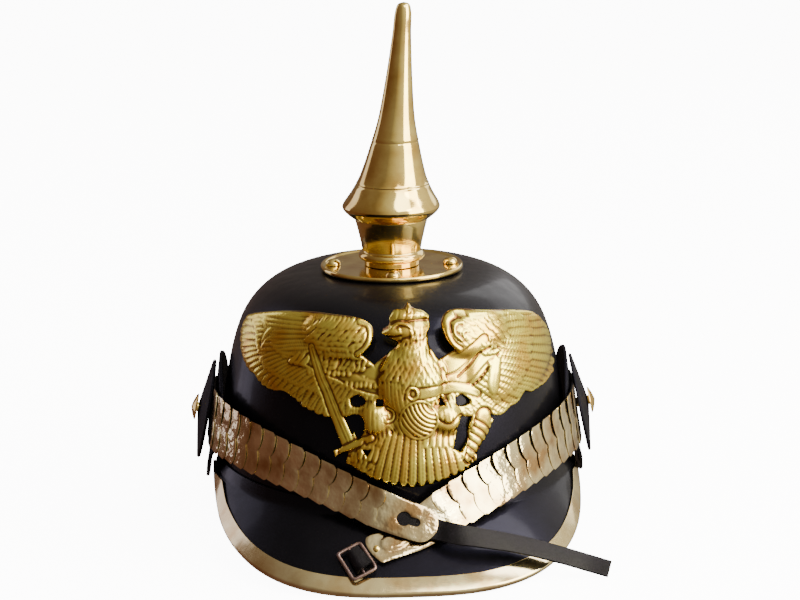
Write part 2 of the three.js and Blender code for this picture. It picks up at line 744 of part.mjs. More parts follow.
// Loose tongue: flat under the end plate, then turning from the strap's face to lie on what it crosses.
function addTongue(line) {
  const first = line.length - endPlate.tongueRoom + gap;
  const leading = [first, line.length - 5, line.length].map((d) => line.at(d));
  const points = [...leading.map((s) => s.centre), ...tongueRoute.map((p) => new THREE.Vector3(...p))];
  const curve = new THREE.CatmullRomCurve3(points, false, "centripetal");
  const turning = tongueFaces.map((f) => new THREE.Vector3(...f).normalize());
  const faces = [...leading.map((spot) => spot.face), ...turning];
  const steps = 34;
  const rings = Array.from({ length: steps + 1 }, (_, i) => {
    const t = i / steps;
    const spot = t * (faces.length - 1);
    const k = Math.min(Math.floor(spot), faces.length - 2);
    const centre = curve.getPoint(t);
    const forward = curve.getTangent(t);
    const across = faces[k].clone().lerp(faces[k + 1], spot - k).cross(forward).normalize();
    const face = forward.clone().cross(across).normalize();
    const half = THREE.MathUtils.lerp(tongue.startWidth, tongue.endWidth, t) / 2;
    const corner = (sideways, up) =>
      centre.clone().addScaledVector(across, sideways).addScaledVector(face, up);
    return [
      corner(-half, 0),
      corner(half, 0),
      corner(half, tongue.thickness),
      corner(-half, tongue.thickness),
    ];
  });
  add("tongue_strap", loft(rings), "strap");
}

// ---------- eagle plate ----------

// Flat drawing of the plate: across from the bird's middle (100 mm to a radian round the helmet) and up
// from the rim. Curves run smoothly through their points.
function drawn(...stretches) {
  const shape = new THREE.Shape();
  shape.moveTo(...stretches[0][0]);
  for (const points of stretches) {
    const rest = points.map(([x, y]) => new THREE.Vector2(x, y));
    if (rest.length === 2) shape.lineTo(rest[1].x, rest[1].y);
    else shape.splineThru(rest.slice(1));
  }
  return shape;
}

const wingLeft = drawn(
  [[-12, 70], [-21, 78]],
  [[-21, 78], [-29, 83]],
  [[-29, 83], [-23, 88], [-22, 95], [-30, 99.5], [-50, 101], [-75, 100], [-100, 96.5], [-125, 89.5],
    [-129, 82]],
  [[-129, 82], [-127, 76], [-118, 70]],
  [[-118, 70], [-112, 65], [-101, 64]],
  [[-101, 64], [-95, 59.5], [-82, 59]],
  [[-82, 59], [-76, 60], [-70, 58]],
  [[-70, 58], [-64, 54], [-57, 52.5]],
  [[-57, 52.5], [-50, 50.5], [-40, 51], [-30, 53]],
  [[-30, 53], [-12, 50]],
);
const wingRight = drawn(
  [[12, 70], [18, 79.5]],
  [[18, 79.5], [28, 83.5]],
  [[28, 83.5], [22.5, 90], [22, 97], [28, 101.8], [58, 99.5], [97, 92], [106, 86], [111, 80], [112, 72]],
  [[112, 72], [114, 67], [114, 62.5]],
  [[114, 62.5], [110, 57], [104, 56.5]],
  [[104, 56.5], [95, 54.5], [86, 54]],
  [[86, 54], [79, 53.5], [73, 55.5]],
  [[73, 55.5], [67, 51], [61, 50]],
  [[61, 50], [54, 47], [47, 48]],
  [[47, 48], [30, 44], [12, 50]],
);
const body = drawn(
  [[-12, 101], [-9, 104.2], [-3, 105], [0.5, 107.3], [4, 105.2], [10, 103.7], [14, 101]],
  [[14, 101], [13.5, 96], [11.5, 89], [14, 84], [18, 79]],
  [[18, 79], [22, 66], [30, 50], [32, 37]],
  [[32, 37], [34, 26.5]],
  [[34, 26.5], [28, 22], [19, 20], [8, 17], [-2, 16.2], [-12, 18], [-20, 20.5], [-29, 25], [-35.5, 28]],
  [[-35.5, 28], [-34, 38], [-30, 48], [-20, 66], [-21, 78]],
  [[-21, 78], [-12.5, 84], [-7, 88.5], [-9.5, 90.5], [-16.7, 94.5], [-12, 98], [-12, 101]],
);
const sword = drawn(
  [[-61, 82.5], [-56.4, 84.5]],
  [[-56.4, 84.5], [-30.3, 38.4]],
  [[-30.3, 38.4], [-38, 35.7]],
  [[-38, 35.7], [-61, 82.5]],
);
const swordGuard = drawn([[-41, 31], [-42.5, 34]], [[-42.5, 34], [-23, 43.5]], [[-23, 43.5], [-21.5, 40]]);
const sceptre = drawn(
  [[26, 30], [30, 40], [34, 50]],
  [[34, 50], [47, 48.5]],
  [[47, 48.5], [47.6, 44], [43, 37], [38, 32], [34.5, 26]],
  [[34.5, 26], [26, 30]],
);
const holes = [
  drawn([[-34.4, 61], [-30, 63], [-25.4, 60], [-29, 57], [-33.5, 57.5], [-34.4, 61]]),
  drawn([[-19.4, 61], [-15.4, 61]], [[-15.4, 61], [-15.4, 58]], [[-15.4, 58], [-19.4, 58]]),
  drawn([[-35.6, 52], [-31, 53], [-25.8, 51], [-26, 45], [-29.4, 40.6], [-33.2, 46.5], [-35.6, 52]]),
  drawn([[-26.6, 35.8], [-21.8, 36]], [[-21.8, 36], [-24, 32.2]]),
  drawn([[15.4, 57], [17.2, 60.5]], [[17.2, 60.5], [19.2, 57]]),
  drawn([[25.8, 60], [30, 61], [34.5, 57], [30.7, 55.2], [26, 56.5], [25.8, 60]]),
  drawn(
    [[27, 50], [34.6, 49.2]],
    [[34.6, 49.2], [32.4, 44], [31.4, 38], [26.5, 32]],
    [[26.5, 32], [21.5, 34.8]],
    [[21.5, 34.8], [24.8, 42], [27, 50]],
  ),
];

// Raised forms: middle, half sizes, turn in degrees and height above the sheet.
const reliefForms = [
  { name: "breast", at: [0, 70], half: [18, 16], turn: 0, height: 5 },
  { name: "neck", at: [2, 88], half: [10, 12], turn: 0, height: 4.5 },
  { name: "head", at: [-2, 96.5], half: [13, 5.5], turn: 0, height: 5 },
  { name: "crown", at: [1, 103], half: [12, 4], turn: 0, height: 4.5 },
  { name: "shield", at: [6.6, 50], half: [11, 9.5], turn: 0, height: 5.5 },
  { name: "thigh left", at: [-20.5, 50], half: [7, 8], turn: 0, height: 5 },
  { name: "thigh right", at: [19.5, 50], half: [7.5, 8], turn: 0, height: 5 },
  { name: "tail", at: [0, 30], half: [30, 15], turn: 0, height: 3 },
  { name: "wing bend left", at: [-46, 91], half: [26, 11], turn: 5, height: 4 },
  { name: "wing left", at: [-85, 80], half: [42, 20], turn: 8, height: 2.6 },
  { name: "wing bend right", at: [44, 91], half: [24, 11], turn: -5, height: 4 },
  { name: "wing right", at: [76, 77], half: [40, 22], turn: -10, height: 2.6 },
];
const plate = { metal: 1.2, cellAcross: 7, cellUp: 6.2, turnRound: 4.4, acrossPerRadian: 100 };

// Outside of the plain sheet, straighter than the dome so that the bird's head stands up.
const plateSections = [
  { rise: 10, halfWidth: 97.5, halfLength: 110 },
  { rise: 28, halfWidth: 96.5, halfLength: 108.7 },
  { rise: 56, halfWidth: 92.1, halfLength: 104.4 },
  { rise: 70, halfWidth: 89.5, halfLength: 101.7 },
  { rise: 82, halfWidth: 86.3, halfLength: 98.4 },
  { rise: 91, halfWidth: 83.3, halfLength: 95 },
  { rise: 98, halfWidth: 80, halfLength: 91.6 },
  { rise: 110, halfWidth: 73.4, halfLength: 84.8 },
];

function reliefAt(across, up) {
  let height = 0;
  for (const form of reliefForms) {
    const turn = degrees(form.turn);
    const [x, y] = [across - form.at[0], up - form.at[1]];
    const along = (x * Math.cos(turn) - y * Math.sin(turn)) / form.half[0];
    const over = (x * Math.sin(turn) + y * Math.cos(turn)) / form.half[1];
    height = Math.max(height, form.height * Math.sqrt(Math.max(1 - along ** 2 - over ** 2, 0)));
  }
  return height;
}

// Flat sheet of small cells with the relief on its upper side, larger than the drawing.
function reliefSheet() {
  const [left, right, bottom, top] = [-134, 118, 12, 111];
  const columns = Math.ceil((right - left) / plate.cellAcross);
  const rows = Math.ceil((top - bottom) / plate.cellUp);
  const sheet = new THREE.BoxGeometry(right - left, top - bottom, 1, columns, rows, 1);
  sheet.translate((left + right) / 2, (bottom + top) / 2, 0);
  const place = sheet.attributes.position;
  for (let i = 0; i < place.count; i++) {
    const relief = reliefAt(place.getX(i), place.getY(i));
    place.setZ(i, place.getZ(i) > 0 ? relief : Math.max(relief, 0) * 0.7 - plate.metal);
  }
  return sheet;
}

function wrapped(geometry) {
  const place = geometry.attributes.position;
  for (let i = 0; i < place.count; i++) {
    const [across, rise, out] = [place.getX(i), place.getY(i), place.getZ(i)];
    const size = sectionAt(plateSections, rise);
    const angle = across / plate.acrossPerRadian + degrees(plate.turnRound);
    const p = ovalPoint(size.halfWidth + out, size.halfLength + out, angle, rimHeight + rise);
    place.setXYZ(i, p.x, p.y, p.z);
  }
  return geometry;
}

function makeEaglePlate() {
  const solidOf = (shape) => toSolid(extruded(shape, 24, 4).translate(0, 0, -12));
  const shapes = [wingLeft, wingRight, body, sword, swordGuard, sceptre];
  const whole = shapes.map(solidOf).reduce((all, next) => all.add(next));
  const pierced = holes.map(solidOf).reduce((all, hole) => all.subtract(hole), whole);
  return wrapped(fromSolid(pierced.intersect(toSolid(reliefSheet()))));
}

// ---------- assembly ----------

add("shell", makeShell(), "leather");
add("front_peak", makePeak(frontPeak, 1), "leather");
add("front_peak_trim", makePeakTrim(), "brass");
add("rear_peak", makePeak(rearPeak, -1), "leather");
add("eagle_plate", makeEaglePlate(), "brass");
add("spike_disc", makeDisc(), "brass");
add("spike_neck", turned(neckOutline.map((row) => ({ ...row, height: row.height + discTop }))), "brass");
add("spike", makeSpike(), "brass");
for (let i = 0; i < stud.count; i++) {
  add("disc_stud_" + (i + 1), makeStud((i / stud.count) * 2 * Math.PI), "brass");
}
for (const [word, side] of [["left", -1], ["right", 1]]) {
  const innerMount = sideMount(side, innerDisc.standOff, innerDisc.tilt);
  add("inner_disc_" + word, makeInnerDisc(side), "leather", innerMount);
  const outer = sideMount(side, outerDisc.standOff, outerDisc.tilt, outerDisc.turn);
  add("outer_disc_" + word, makeOuterDisc(), "leather", outer);
  add("boss_" + word, makeBoss(), "brass", outer);
}

const underLine = strapLine(underHalf, 1);
const underTip = underLine.length - 25.4;
addHalf(underLine, 1, "right", addUnderPlate(underLine, underTip), underTip - endPlate.buckleRoom - gap);
addBuckle(underLine, underTip);

const overLine = strapLine(overHalf, -1);
addHalf(overLine, -1, "left", addOverPlate(overLine), overLine.length - endPlate.tongueRoom);
addTongue(overLine);

export default group;
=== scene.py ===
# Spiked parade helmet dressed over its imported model: lacquered leather, turned, rolled and stamped brass.
# Lengths in the dictionaries are millimetres, measured from the helmet's upright axis and the floor.

import math

import bpy
import numpy as np
from mathutils import Matrix, Vector
from mathutils.geometry import delaunay_2d_cdt


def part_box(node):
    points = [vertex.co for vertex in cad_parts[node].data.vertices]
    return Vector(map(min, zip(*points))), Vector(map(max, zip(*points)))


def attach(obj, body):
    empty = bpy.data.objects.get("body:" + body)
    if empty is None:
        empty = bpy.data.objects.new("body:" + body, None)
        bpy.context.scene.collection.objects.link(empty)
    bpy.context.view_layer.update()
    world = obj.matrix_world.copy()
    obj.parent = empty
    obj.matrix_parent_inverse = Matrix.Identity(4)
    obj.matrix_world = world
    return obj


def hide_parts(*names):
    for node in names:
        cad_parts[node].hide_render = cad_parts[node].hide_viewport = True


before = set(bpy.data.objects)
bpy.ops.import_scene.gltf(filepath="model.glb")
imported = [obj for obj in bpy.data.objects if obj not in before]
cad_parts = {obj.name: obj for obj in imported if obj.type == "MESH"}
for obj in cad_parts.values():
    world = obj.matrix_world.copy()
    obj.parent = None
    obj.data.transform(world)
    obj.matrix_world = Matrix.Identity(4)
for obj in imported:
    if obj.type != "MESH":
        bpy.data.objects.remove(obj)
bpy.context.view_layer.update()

mm = 0.001
shellLow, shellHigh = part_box("shell")
neckLow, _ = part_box("spike_neck")
axisY = (shellLow.y + shellHigh.y) / 2 / mm  # helmet's axis in the model's frame
rimHeight = shellLow.z / mm
gap = 0.3  # free space between neighbouring pieces
leather = 2.4
discTop = neckLow.z / mm - gap

# camera and light

viewpoint = {"at": (-24.4, -1263.2, 425.7), "target": (4.3, 0, 120), "lens": 106.4, "roll": -0.65}
studio = {
    "floor": {"radius": 6000, "around": 96, "colour": "#f7f7f7", "glow": 12.0, "rough": 0.7},
    "backdrop": {"radius": 5900, "around": 96, "rows": 25, "colour": "#ffffff", "glow": 14.0},
    # what the helmet mirrors: a room that grows brighter towards the window
    "room": {
        "towards": (0.84, -0.24, 0.48),
        "spread": 0.9,
        "dark": "#65493f",
        "middle": "#857c74",
        "light": "#fff6e2",
        "strength": 1.15,
    },
    # soft boxes: place, what each faces, width, height, watts and colour
    "boxes": [
        ("window", (1150, -600, 620), (40, -40, 110), 900, 1100, 38, "#fff6e0"),
        ("skylight", (640, -900, 1350), (0, 0, 150), 900, 700, 15, "#fffaf0"),
        ("highWindow", (980, 60, 1350), (60, -60, 60), 600, 900, 14, "#faf6ff"),
        ("leftPanel", (-1150, 820, 450), (0, 0, 120), 500, 1300, 2.9, "#ebe6ff"),
        ("rearPanel", (800, 1200, 700), (0, 0, 130), 1000, 700, 4, "#ffffff"),
    ],
}


def placed(point):
    # from the helmet's axis in millimetres to the scene in metres
    return Vector((point[0] * mm, (point[1] + axisY) * mm, point[2] * mm))


def aimed(at, target, roll=0.0):
    turn = (placed(target) - placed(at)).to_track_quat("-Z", "Y").to_matrix().to_4x4()
    return Matrix.Translation(placed(at)) @ turn @ Matrix.Rotation(math.radians(roll), 4, "Z")


def linear(hexColour):
    parts = [int(hexColour[i : i + 2], 16) / 255 for i in (1, 3, 5)]
    return [c / 12.92 if c <= 0.04045 else ((c + 0.055) / 1.055) ** 2.4 for c in parts] + [1.0]


def addNode(tree, kind, links=None, sockets=None, **settings):
    node = tree.nodes.new(kind)
    for key, value in settings.items():
        setattr(node, key, value)
    for key, value in (sockets or {}).items():
        node.inputs[key].default_value = value
    for key, source in (links or {}).items():
        tree.links.new(source, node.inputs[key])
    return node


def setCamera():
    lens = bpy.data.cameras.new("view")
    lens.lens = viewpoint["lens"]
    lens.sensor_width = 36
    lens.clip_end = 60
    camera = bpy.data.objects.new("view", lens)
    camera.matrix_world = aimed(viewpoint["at"], viewpoint["target"], viewpoint["roll"])
    bpy.context.scene.collection.objects.link(camera)
    bpy.context.scene.camera = camera


def setLights():
    for name, at, target, width, height, watts, colour in studio["boxes"]:
        lamp = bpy.data.lights.new(name, "AREA")
        lamp.shape = "RECTANGLE"
        lamp.size = width * mm
        lamp.size_y = height * mm
        lamp.energy = watts
        lamp.color = linear(colour)[:3]
        box = bpy.data.objects.new(name, lamp)
        box.matrix_world = aimed(at, target)
        bpy.context.scene.collection.objects.link(box)


def setRoom():
    room = studio["room"]
    world = bpy.data.worlds.new("room")
    bpy.context.scene.world = world
    world.use_nodes = True
    tree = world.node_tree
    tree.nodes.clear()
    where = addNode(tree, "ShaderNodeTexCoord").outputs["Generated"]
    facing = addNode(tree, "ShaderNodeVectorMath", {0: where}, {1: room["towards"]}, operation="DOT_PRODUCT")
    share = spread(tree, facing.outputs["Value"], 0, 1, -room["spread"], room["spread"])
    ramp = addNode(tree, "ShaderNodeValToRGB", {"Fac": share})
    ramp.color_ramp.elements[0].color = linear(room["dark"])
    ramp.color_ramp.elements[1].color = linear(room["light"])
    ramp.color_ramp.elements.new(0.5).color = linear(room["middle"])
    links = {"Color": ramp.outputs["Color"]}
    glow = addNode(tree, "ShaderNodeBackground", links, {"Strength": room["strength"]})
    addNode(tree, "ShaderNodeOutputWorld", {"Surface": glow.outputs["Background"]})


def addStage(name, points, faces, material):
    # seen by the camera, while the helmet mirrors the room instead
    mesh = bpy.data.meshes.new(name)
    mesh.from_pydata((np.array(points) * mm).tolist(), [], faces)
    mesh.materials.append(material)
    sheet = bpy.data.objects.new(name, mesh)
    sheet.visible_glossy = False
    sheet.visible_diffuse = False
    bpy.context.scene.collection.objects.link(sheet)
    return sheet


def setBackdrop():
    backdrop = studio["backdrop"]
    arc = np.linspace(0, math.pi / 2, backdrop["rows"])
    rows = [(backdrop["radius"] * math.cos(a), backdrop["radius"] * math.sin(a)) for a in arc]
    white = bpy.data.materials.new("white_backdrop_cloth")
    white.use_nodes = True
    tree = white.node_tree
    tree.nodes.clear()
    sockets = {"Color": linear(backdrop["colour"]), "Strength": backdrop["glow"]}
    glow = addNode(tree, "ShaderNodeEmission", sockets=sockets)
    addNode(tree, "ShaderNodeOutputMaterial", {"Surface": glow.outputs["Emission"]})
    cloth = addStage("backdrop", *turnedSurface(rows, backdrop["around"]), white)
    cloth.visible_shadow = False


def setFloor():
    floor = studio["floor"]
    turn = np.arange(floor["around"]) * 2 * math.pi / floor["around"]
    edge = [(floor["radius"] * math.cos(a), floor["radius"] * math.sin(a), 0) for a in turn]
    colour, glow = linear(floor["colour"]), floor["glow"]
    sockets = {"Base_Color": colour, "Emission_Color": colour, "Emission_Strength": glow}
    paint = newMaterial("pale_painted_board", Roughness=floor["rough"], **sockets)[0]
    board = addStage("floor", edge, [tuple(range(len(edge)))], paint)


# numbers and curves


def unit(vector):
    return vector / max(np.linalg.norm(vector), 1e-9)


def softLine(points, perStretch=24):
    # centripetal Catmull-Rom curve: its samples, and each one's place along the list of points
    p = [np.array(q, float) for q in points]
    p = [2 * p[0] - p[1]] + p + [2 * p[-1] - p[-2]]
    samples, places = [], []
    for k in range(1, len(p) - 2):
        a, b, c, d = p[k - 1 : k + 3]
        s = [max(np.linalg.norm(v - u) ** 0.5, 1e-6) for u, v in ((a, b), (b, c), (c, d))]
        leave = ((b - a) / s[0] - (c - a) / (s[0] + s[1]) + (c - b) / s[1]) * s[1]
        arrive = ((c - b) / s[1] - (d - b) / (s[1] + s[2]) + (d - c) / s[2]) * s[1]
        for i in range(perStretch + (k == len(p) - 3)):
            t = i / perStretch
            square = 3 * (c - b) - 2 * leave - arrive
            cube = 2 * (b - c) + leave + arrive
            samples.append(b + leave * t + square * t**2 + cube * t**3)
            places.append(k - 1 + t)
    return np.array(samples), np.array(places)


def roundedCorners(points, radii, closes=False, steps=4):
    # polyline whose corners are rounded off, each by its own radius; 0 leaves a corner as one point
    p = [np.array(q, float) for q in points]
    made = []
    for i, corner in enumerate(p):
        radius = radii[i] if hasattr(radii, "__len__") else radii
        atEnd = not closes and i in (0, len(p) - 1)
        if atEnd or radius == 0:
            made.append(corner)
            continue
        before, after = p[i - 1] - corner, p[(i + 1) % len(p)] - corner
        # just under half a side, so that neighbouring corners never meet
        reach = min(radius, 0.48 * min(np.linalg.norm(before), np.linalg.norm(after)))
        a, b = corner + unit(before) * reach, corner + unit(after) * reach
        for k in range(steps + 1):
            t = k / steps
            made.append(a * (1 - t) ** 2 + corner * 2 * t * (1 - t) + b * t**2)
    return made


def ringSurface(rows, segments, pointAt, closes=False):
    # a ring of points for each row, joined to the next ring; a row of no width is a single point
    turn = np.arange(segments) * 2 * math.pi / segments
    points, rings, faces = [], [], []
    for row in rows:
        count = 1 if row[0] < 1e-6 else segments
        rings.append(range(len(points), len(points) + count))
        points += [pointAt(row, a) for a in turn[:count]]
    for low, high in zip(rings, rings[1:] + (rings[:1] if closes else [])):
        for i in range(segments):
            j = (i + 1) % segments
            if len(low) == 1 and len(high) > 1:
                faces.append((low[0], high[j], high[i]))
            elif len(high) == 1 and len(low) > 1:
                faces.append((low[i], low[j], high[0]))
            elif len(low) > 1:
                faces.append((low[i], low[j], high[j], high[i]))
    return np.array(points, float), faces


def circlePoint(row, angle):
    return row[0] * math.cos(angle), row[0] * math.sin(angle), row[1]


def turnedSurface(rows, segments=128):
    # rows of radius and height turned round the upright axis; the last row may be the first again
    closes = len(rows) > 2 and np.allclose(rows[0], rows[-1]) and rows[0][0] > 1e-6
    return ringSurface(rows[:-1] if closes else rows, segments, circlePoint, closes)


def turnedProfile(rows, steps=4, segments=128):
    # turned surface from rows of radius, height and corner radius
    corners = roundedCorners([row[:2] for row in rows], [row[2] for row in rows], steps=steps)
    return turnedSurface([tuple(c) for c in corners], segments)


def domeRows(radius, foot, height, steps):
    turn = np.linspace(0, math.pi / 2, steps)
    rows = [(radius * math.cos(a), foot + (height - foot) * math.sin(a)) for a in turn]
    return rows[:-1] + [(0, height)]


def loft(rings, around=False):
    # surface through rings of equally many points; the ends are filled unless the last ring meets the first
    count = len(rings[0])
    faces = []
    for r in range(len(rings) if around else len(rings) - 1):
        here, there = r * count, (r + 1) % len(rings) * count
        for i in range(count):
            j = (i + 1) % count
            faces.append((here + i, here + j, there + j, there + i))
    if not around:
        faces.append(tuple(range(count))[::-1])
        faces.append(tuple(range((len(rings) - 1) * count, len(rings) * count)))
    return np.concatenate([np.array(r, float) for r in rings]), faces


def sixfoldVolume(points, faces):
    fans = np.array([(f[0], f[k], f[k + 1]) for f in faces for k in range(1, len(f) - 1)])
    a, b, c = points[fans.T]
    return float(np.einsum("ij,ij->", a, np.cross(b, c)))


def makePiece(name, surface, material, replaced, turn=None, values=None, sharp=None):
    # closed surface in millimetres from the helmet's axis, riding on the helmet
    points, faces = surface
    points = np.asarray(points, float)
    if turn is not None:
        points = points @ np.array(turn.to_3x3()).T + np.array(turn.translation)
    middle = points.mean(0)
    if sixfoldVolume(points - middle, faces) < 0:
        faces = [tuple(f)[::-1] for f in faces]
    mesh = bpy.data.meshes.new(name)
    mesh.from_pydata(((points + [0, axisY, 0]) * mm).tolist(), [], [tuple(map(int, f)) for f in faces])
    mesh.validate()
    mesh.polygons.foreach_set("use_smooth", [True] * len(mesh.polygons))
    for key, numbers in (values or {}).items():
        layer = mesh.attributes.new(key, "FLOAT", "POINT")
        layer.data.foreach_set("value", np.asarray(numbers, np.float32))
    mesh.materials.append(material)
    if sharp is not None:
        mesh.set_sharp_from_angle(angle=math.radians(sharp))
    piece = bpy.data.objects.new(name, mesh)
    bpy.context.scene.collection.objects.link(piece)
    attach(piece, "root")
    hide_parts(*replaced)
    return piece


# materials, with their patterns in millimetres

hide = {"pore": 0.9, "poreDepth": 0.02, "wave": 26, "stain": 40, "stainAt": (0.35, 0.7), "haze": 9}
polish = {"bloom": 14, "bloomAt": (0.32, 0.6), "scuff": 2.5, "ringDepth": 0.006}
# where along the recess mask the darker brown comes in, and its greatest share
recessLook = {"recess": (-0.03, 0.17), "most": 0.95}
strapHide = {"wear": 7, "wearAt": (0.4, 0.75), "rough": (0.38, 0.62), "cell": 0.8, "cellDepth": 0.08}


def perMetre(size):
    # a pattern's scale from the real size of one spot
    return 1000 / size


def newMaterial(name, **sockets):
    material = bpy.data.materials.new(name)
    material.use_nodes = True
    tree = material.node_tree
    shader = tree.nodes["Principled BSDF"]
    for key, value in sockets.items():
        shader.inputs[key.replace("_", " ")].default_value = value
    return material, tree, shader


def feed(tree, shader, links):
    for key, source in links.items():
        tree.links.new(source, shader.inputs[key])


def noise(tree, where, size, detail):
    sockets = {"Scale": perMetre(size), "Detail": detail}
    return addNode(tree, "ShaderNodeTexNoise", {"Vector": where}, sockets).outputs["Fac"]


def tinted(tree, share, places, colours):
    # colour from a pattern, with two places on it and their colours
    ramp = addNode(tree, "ShaderNodeValToRGB", {"Fac": share})
    for element, place, colour in zip(ramp.color_ramp.elements, places, colours):
        element.position = place
        element.color = linear(colour)
    return ramp.outputs["Color"]


def spread(tree, value, low, high, fromLow=0.0, fromHigh=1.0):
    sockets = {"From Min": fromLow, "From Max": fromHigh, "To Min": low, "To Max": high}
    return addNode(tree, "ShaderNodeMapRange", {"Value": value}, sockets).outputs["Result"]


def bumped(tree, height, depth, strength=1.0, under=None):
    links = {"Height": height, "Normal": under} if under is not None else {"Height": height}
    sockets = {"Strength": strength, "Distance": depth * mm}
    return addNode(tree, "ShaderNodeBump", links, sockets).outputs["Normal"]


def makeLacqueredLeather(name, deep, worn, shine, waviness, coat, rough):
    # cowhide moulded hot on a block, filled, and lacquered in many coats: a deep wet gloss over a
    # surface that is never quite even, so that reflections wander
    sockets = {"Coat_Weight": coat, "Coat_Roughness": shine, "Coat_IOR": 1.45}
    sockets.update(Specular_Tint=linear("#c8c4ff"), Specular_IOR_Level=0.14)
    material, tree, shader = newMaterial(name, IOR=1.5, **sockets)
    where = addNode(tree, "ShaderNodeTexCoord").outputs["Object"]
    uneven = bumped(tree, noise(tree, where, hide["wave"], 2), waviness)
    skin = bumped(tree, noise(tree, where, hide["pore"], 3), hide["poreDepth"], 0.5, uneven)
    links = {
        "Base Color": tinted(tree, noise(tree, where, hide["stain"], 4), hide["stainAt"], (deep, worn)),
        "Roughness": spread(tree, noise(tree, where, hide["haze"], 6), *rough),
        "Normal": skin,
        "Coat Normal": skin,
    }
    feed(tree, shader, links)
    return material


def makeBrass(name, bright, tarnish, rough, dents, dentSize, ringSpacing=None, recessColour=None):
    # brass, polished by hand: warm mirror with fine scratches, shallow dents and a browner bloom where
    # the cloth doesn't reach; turned work also keeps its lathe rings, drawn wider than real to show
    material, tree, shader = newMaterial(name, Metallic=1.0)
    where = addNode(tree, "ShaderNodeTexCoord").outputs["Object"]
    colour = tinted(tree, noise(tree, where, polish["bloom"], 6), polish["bloomAt"], (tarnish, bright))
    if recessColour:
        # the recesses of the stamping are coloured a darker brown, by the recess mask drawn from the relief
        recess = addNode(tree, "ShaderNodeAttribute", attribute_name="recess").outputs["Fac"]
        links = {0: spread(tree, recess, 0, recessLook["most"], *recessLook["recess"]), 6: colour}
        colour = addNode(tree, "ShaderNodeMix", links, {7: linear(recessColour)}, data_type="RGBA").outputs[2]
    normal = bumped(tree, noise(tree, where, dentSize, 2), dents)
    if ringSpacing:
        height = addNode(tree, "ShaderNodeSeparateXYZ", {"Vector": where}).outputs["Z"]
        turns = {1: perMetre(ringSpacing) * 2 * math.pi}
        ring = addNode(tree, "ShaderNodeMath", {0: height}, turns, operation="MULTIPLY").outputs["Value"]
        wave = addNode(tree, "ShaderNodeMath", {0: ring}, operation="SINE").outputs["Value"]
        normal = bumped(tree, wave, polish["ringDepth"], 0.25, normal)
    scuff = noise(tree, where, polish["scuff"], 8)
    dull = spread(tree, scuff, rough * 0.6, rough * 1.5)
    feed(tree, shader, {"Base Color": colour, "Roughness": dull, "Normal": normal})
    return material


def makeStrapLeather(name, dyed, rubbed):
    # vegetable-tanned strap, dyed through and left without lacquer: fine grain and a low sheen
    material, tree, shader = newMaterial(name, IOR=1.5, Specular_IOR_Level=0.16)
    where = addNode(tree, "ShaderNodeTexCoord").outputs["Object"]
    wear = noise(tree, where, strapHide["wear"], 6)
    cell = addNode(tree, "ShaderNodeTexVoronoi", {"Vector": where}, {"Scale": perMetre(strapHide["cell"])})
    links = {
        "Base Color": tinted(tree, wear, strapHide["wearAt"], (dyed, rubbed)),
        "Roughness": spread(tree, wear, *strapHide["rough"]),
        "Normal": bumped(tree, cell.outputs["Distance"], strapHide["cellDepth"], 0.5),
    }
    feed(tree, shader, links)
    return material


lacquerLook = {"shine": 0.09, "waviness": 0.2, "coat": 0.18, "rough": (0.22, 0.5)}
discLook = {"shine": 0.4, "waviness": 0.05, "coat": 0.05, "rough": (0.5, 0.7)}
turnedLook = {"rough": 0.1, "dents": 0.04, "dentSize": 9, "ringSpacing": 0.9}
rolledLook = {"rough": 0.14, "dents": 0.16, "dentSize": 14}
stampedLook = {"rough": 0.2, "dents": 0.03, "dentSize": 3, "recessColour": "#7a4c2a"}
scaleLook = {"rough": 0.13, "dents": 0.55, "dentSize": 5}
steelLook = {"rough": 0.36, "dents": 0.03, "dentSize": 2}

lacquer = makeLacqueredLeather("moulded_leather_black_lacquer", "#060607", "#0b0a0c", **lacquerLook)
discLeather = makeLacqueredLeather("pressed_leather_disc_black", "#050505", "#0b0a0b", **discLook)
insideLeather = makeStrapLeather("raw_leather_inside", "#33241a", "#4d3829")
strapLeather = makeStrapLeather("strap_leather_dyed_black", "#0c0a0d", "#19161b")
turnedBrass = makeBrass("turned_brass_polished", "#f5dc84", "#d6b05e", **turnedLook)
rolledBrass = makeBrass("rolled_brass_strip", "#f2e2ac", "#d2b47c", **rolledLook)
stampedBrass = makeBrass("stamped_brass_plate", "#fff06a", "#f2c450", **stampedLook)
scaleBrass = makeBrass("planished_brass_scale", "#f6e8b6", "#bc9866", **scaleLook)
buckleSteel = makeBrass("bronzed_steel_wire", "#8d7670", "#5a4a48", **steelLook)


def addTurned(name, node, surface, place):
    makePiece(name, surface, turnedBrass, [node], place, sharp=60)


print("materials made")

setCamera()


# strap lines

ovalTurn = (96.5, 109)
shellSections = {
    "rise": [0, 28, 56, 70, 82, 91, 98, 102.6, 105.6, 106.5],
    "halfWidth": [96.5, 94.8, 90.2, 86.8, 82.2, 76, 67.6, 57, 38.5, 0],
    "halfLength": [109, 107, 102.5, 99, 94.5, 88, 79.5, 68.5, 48, 0],
}
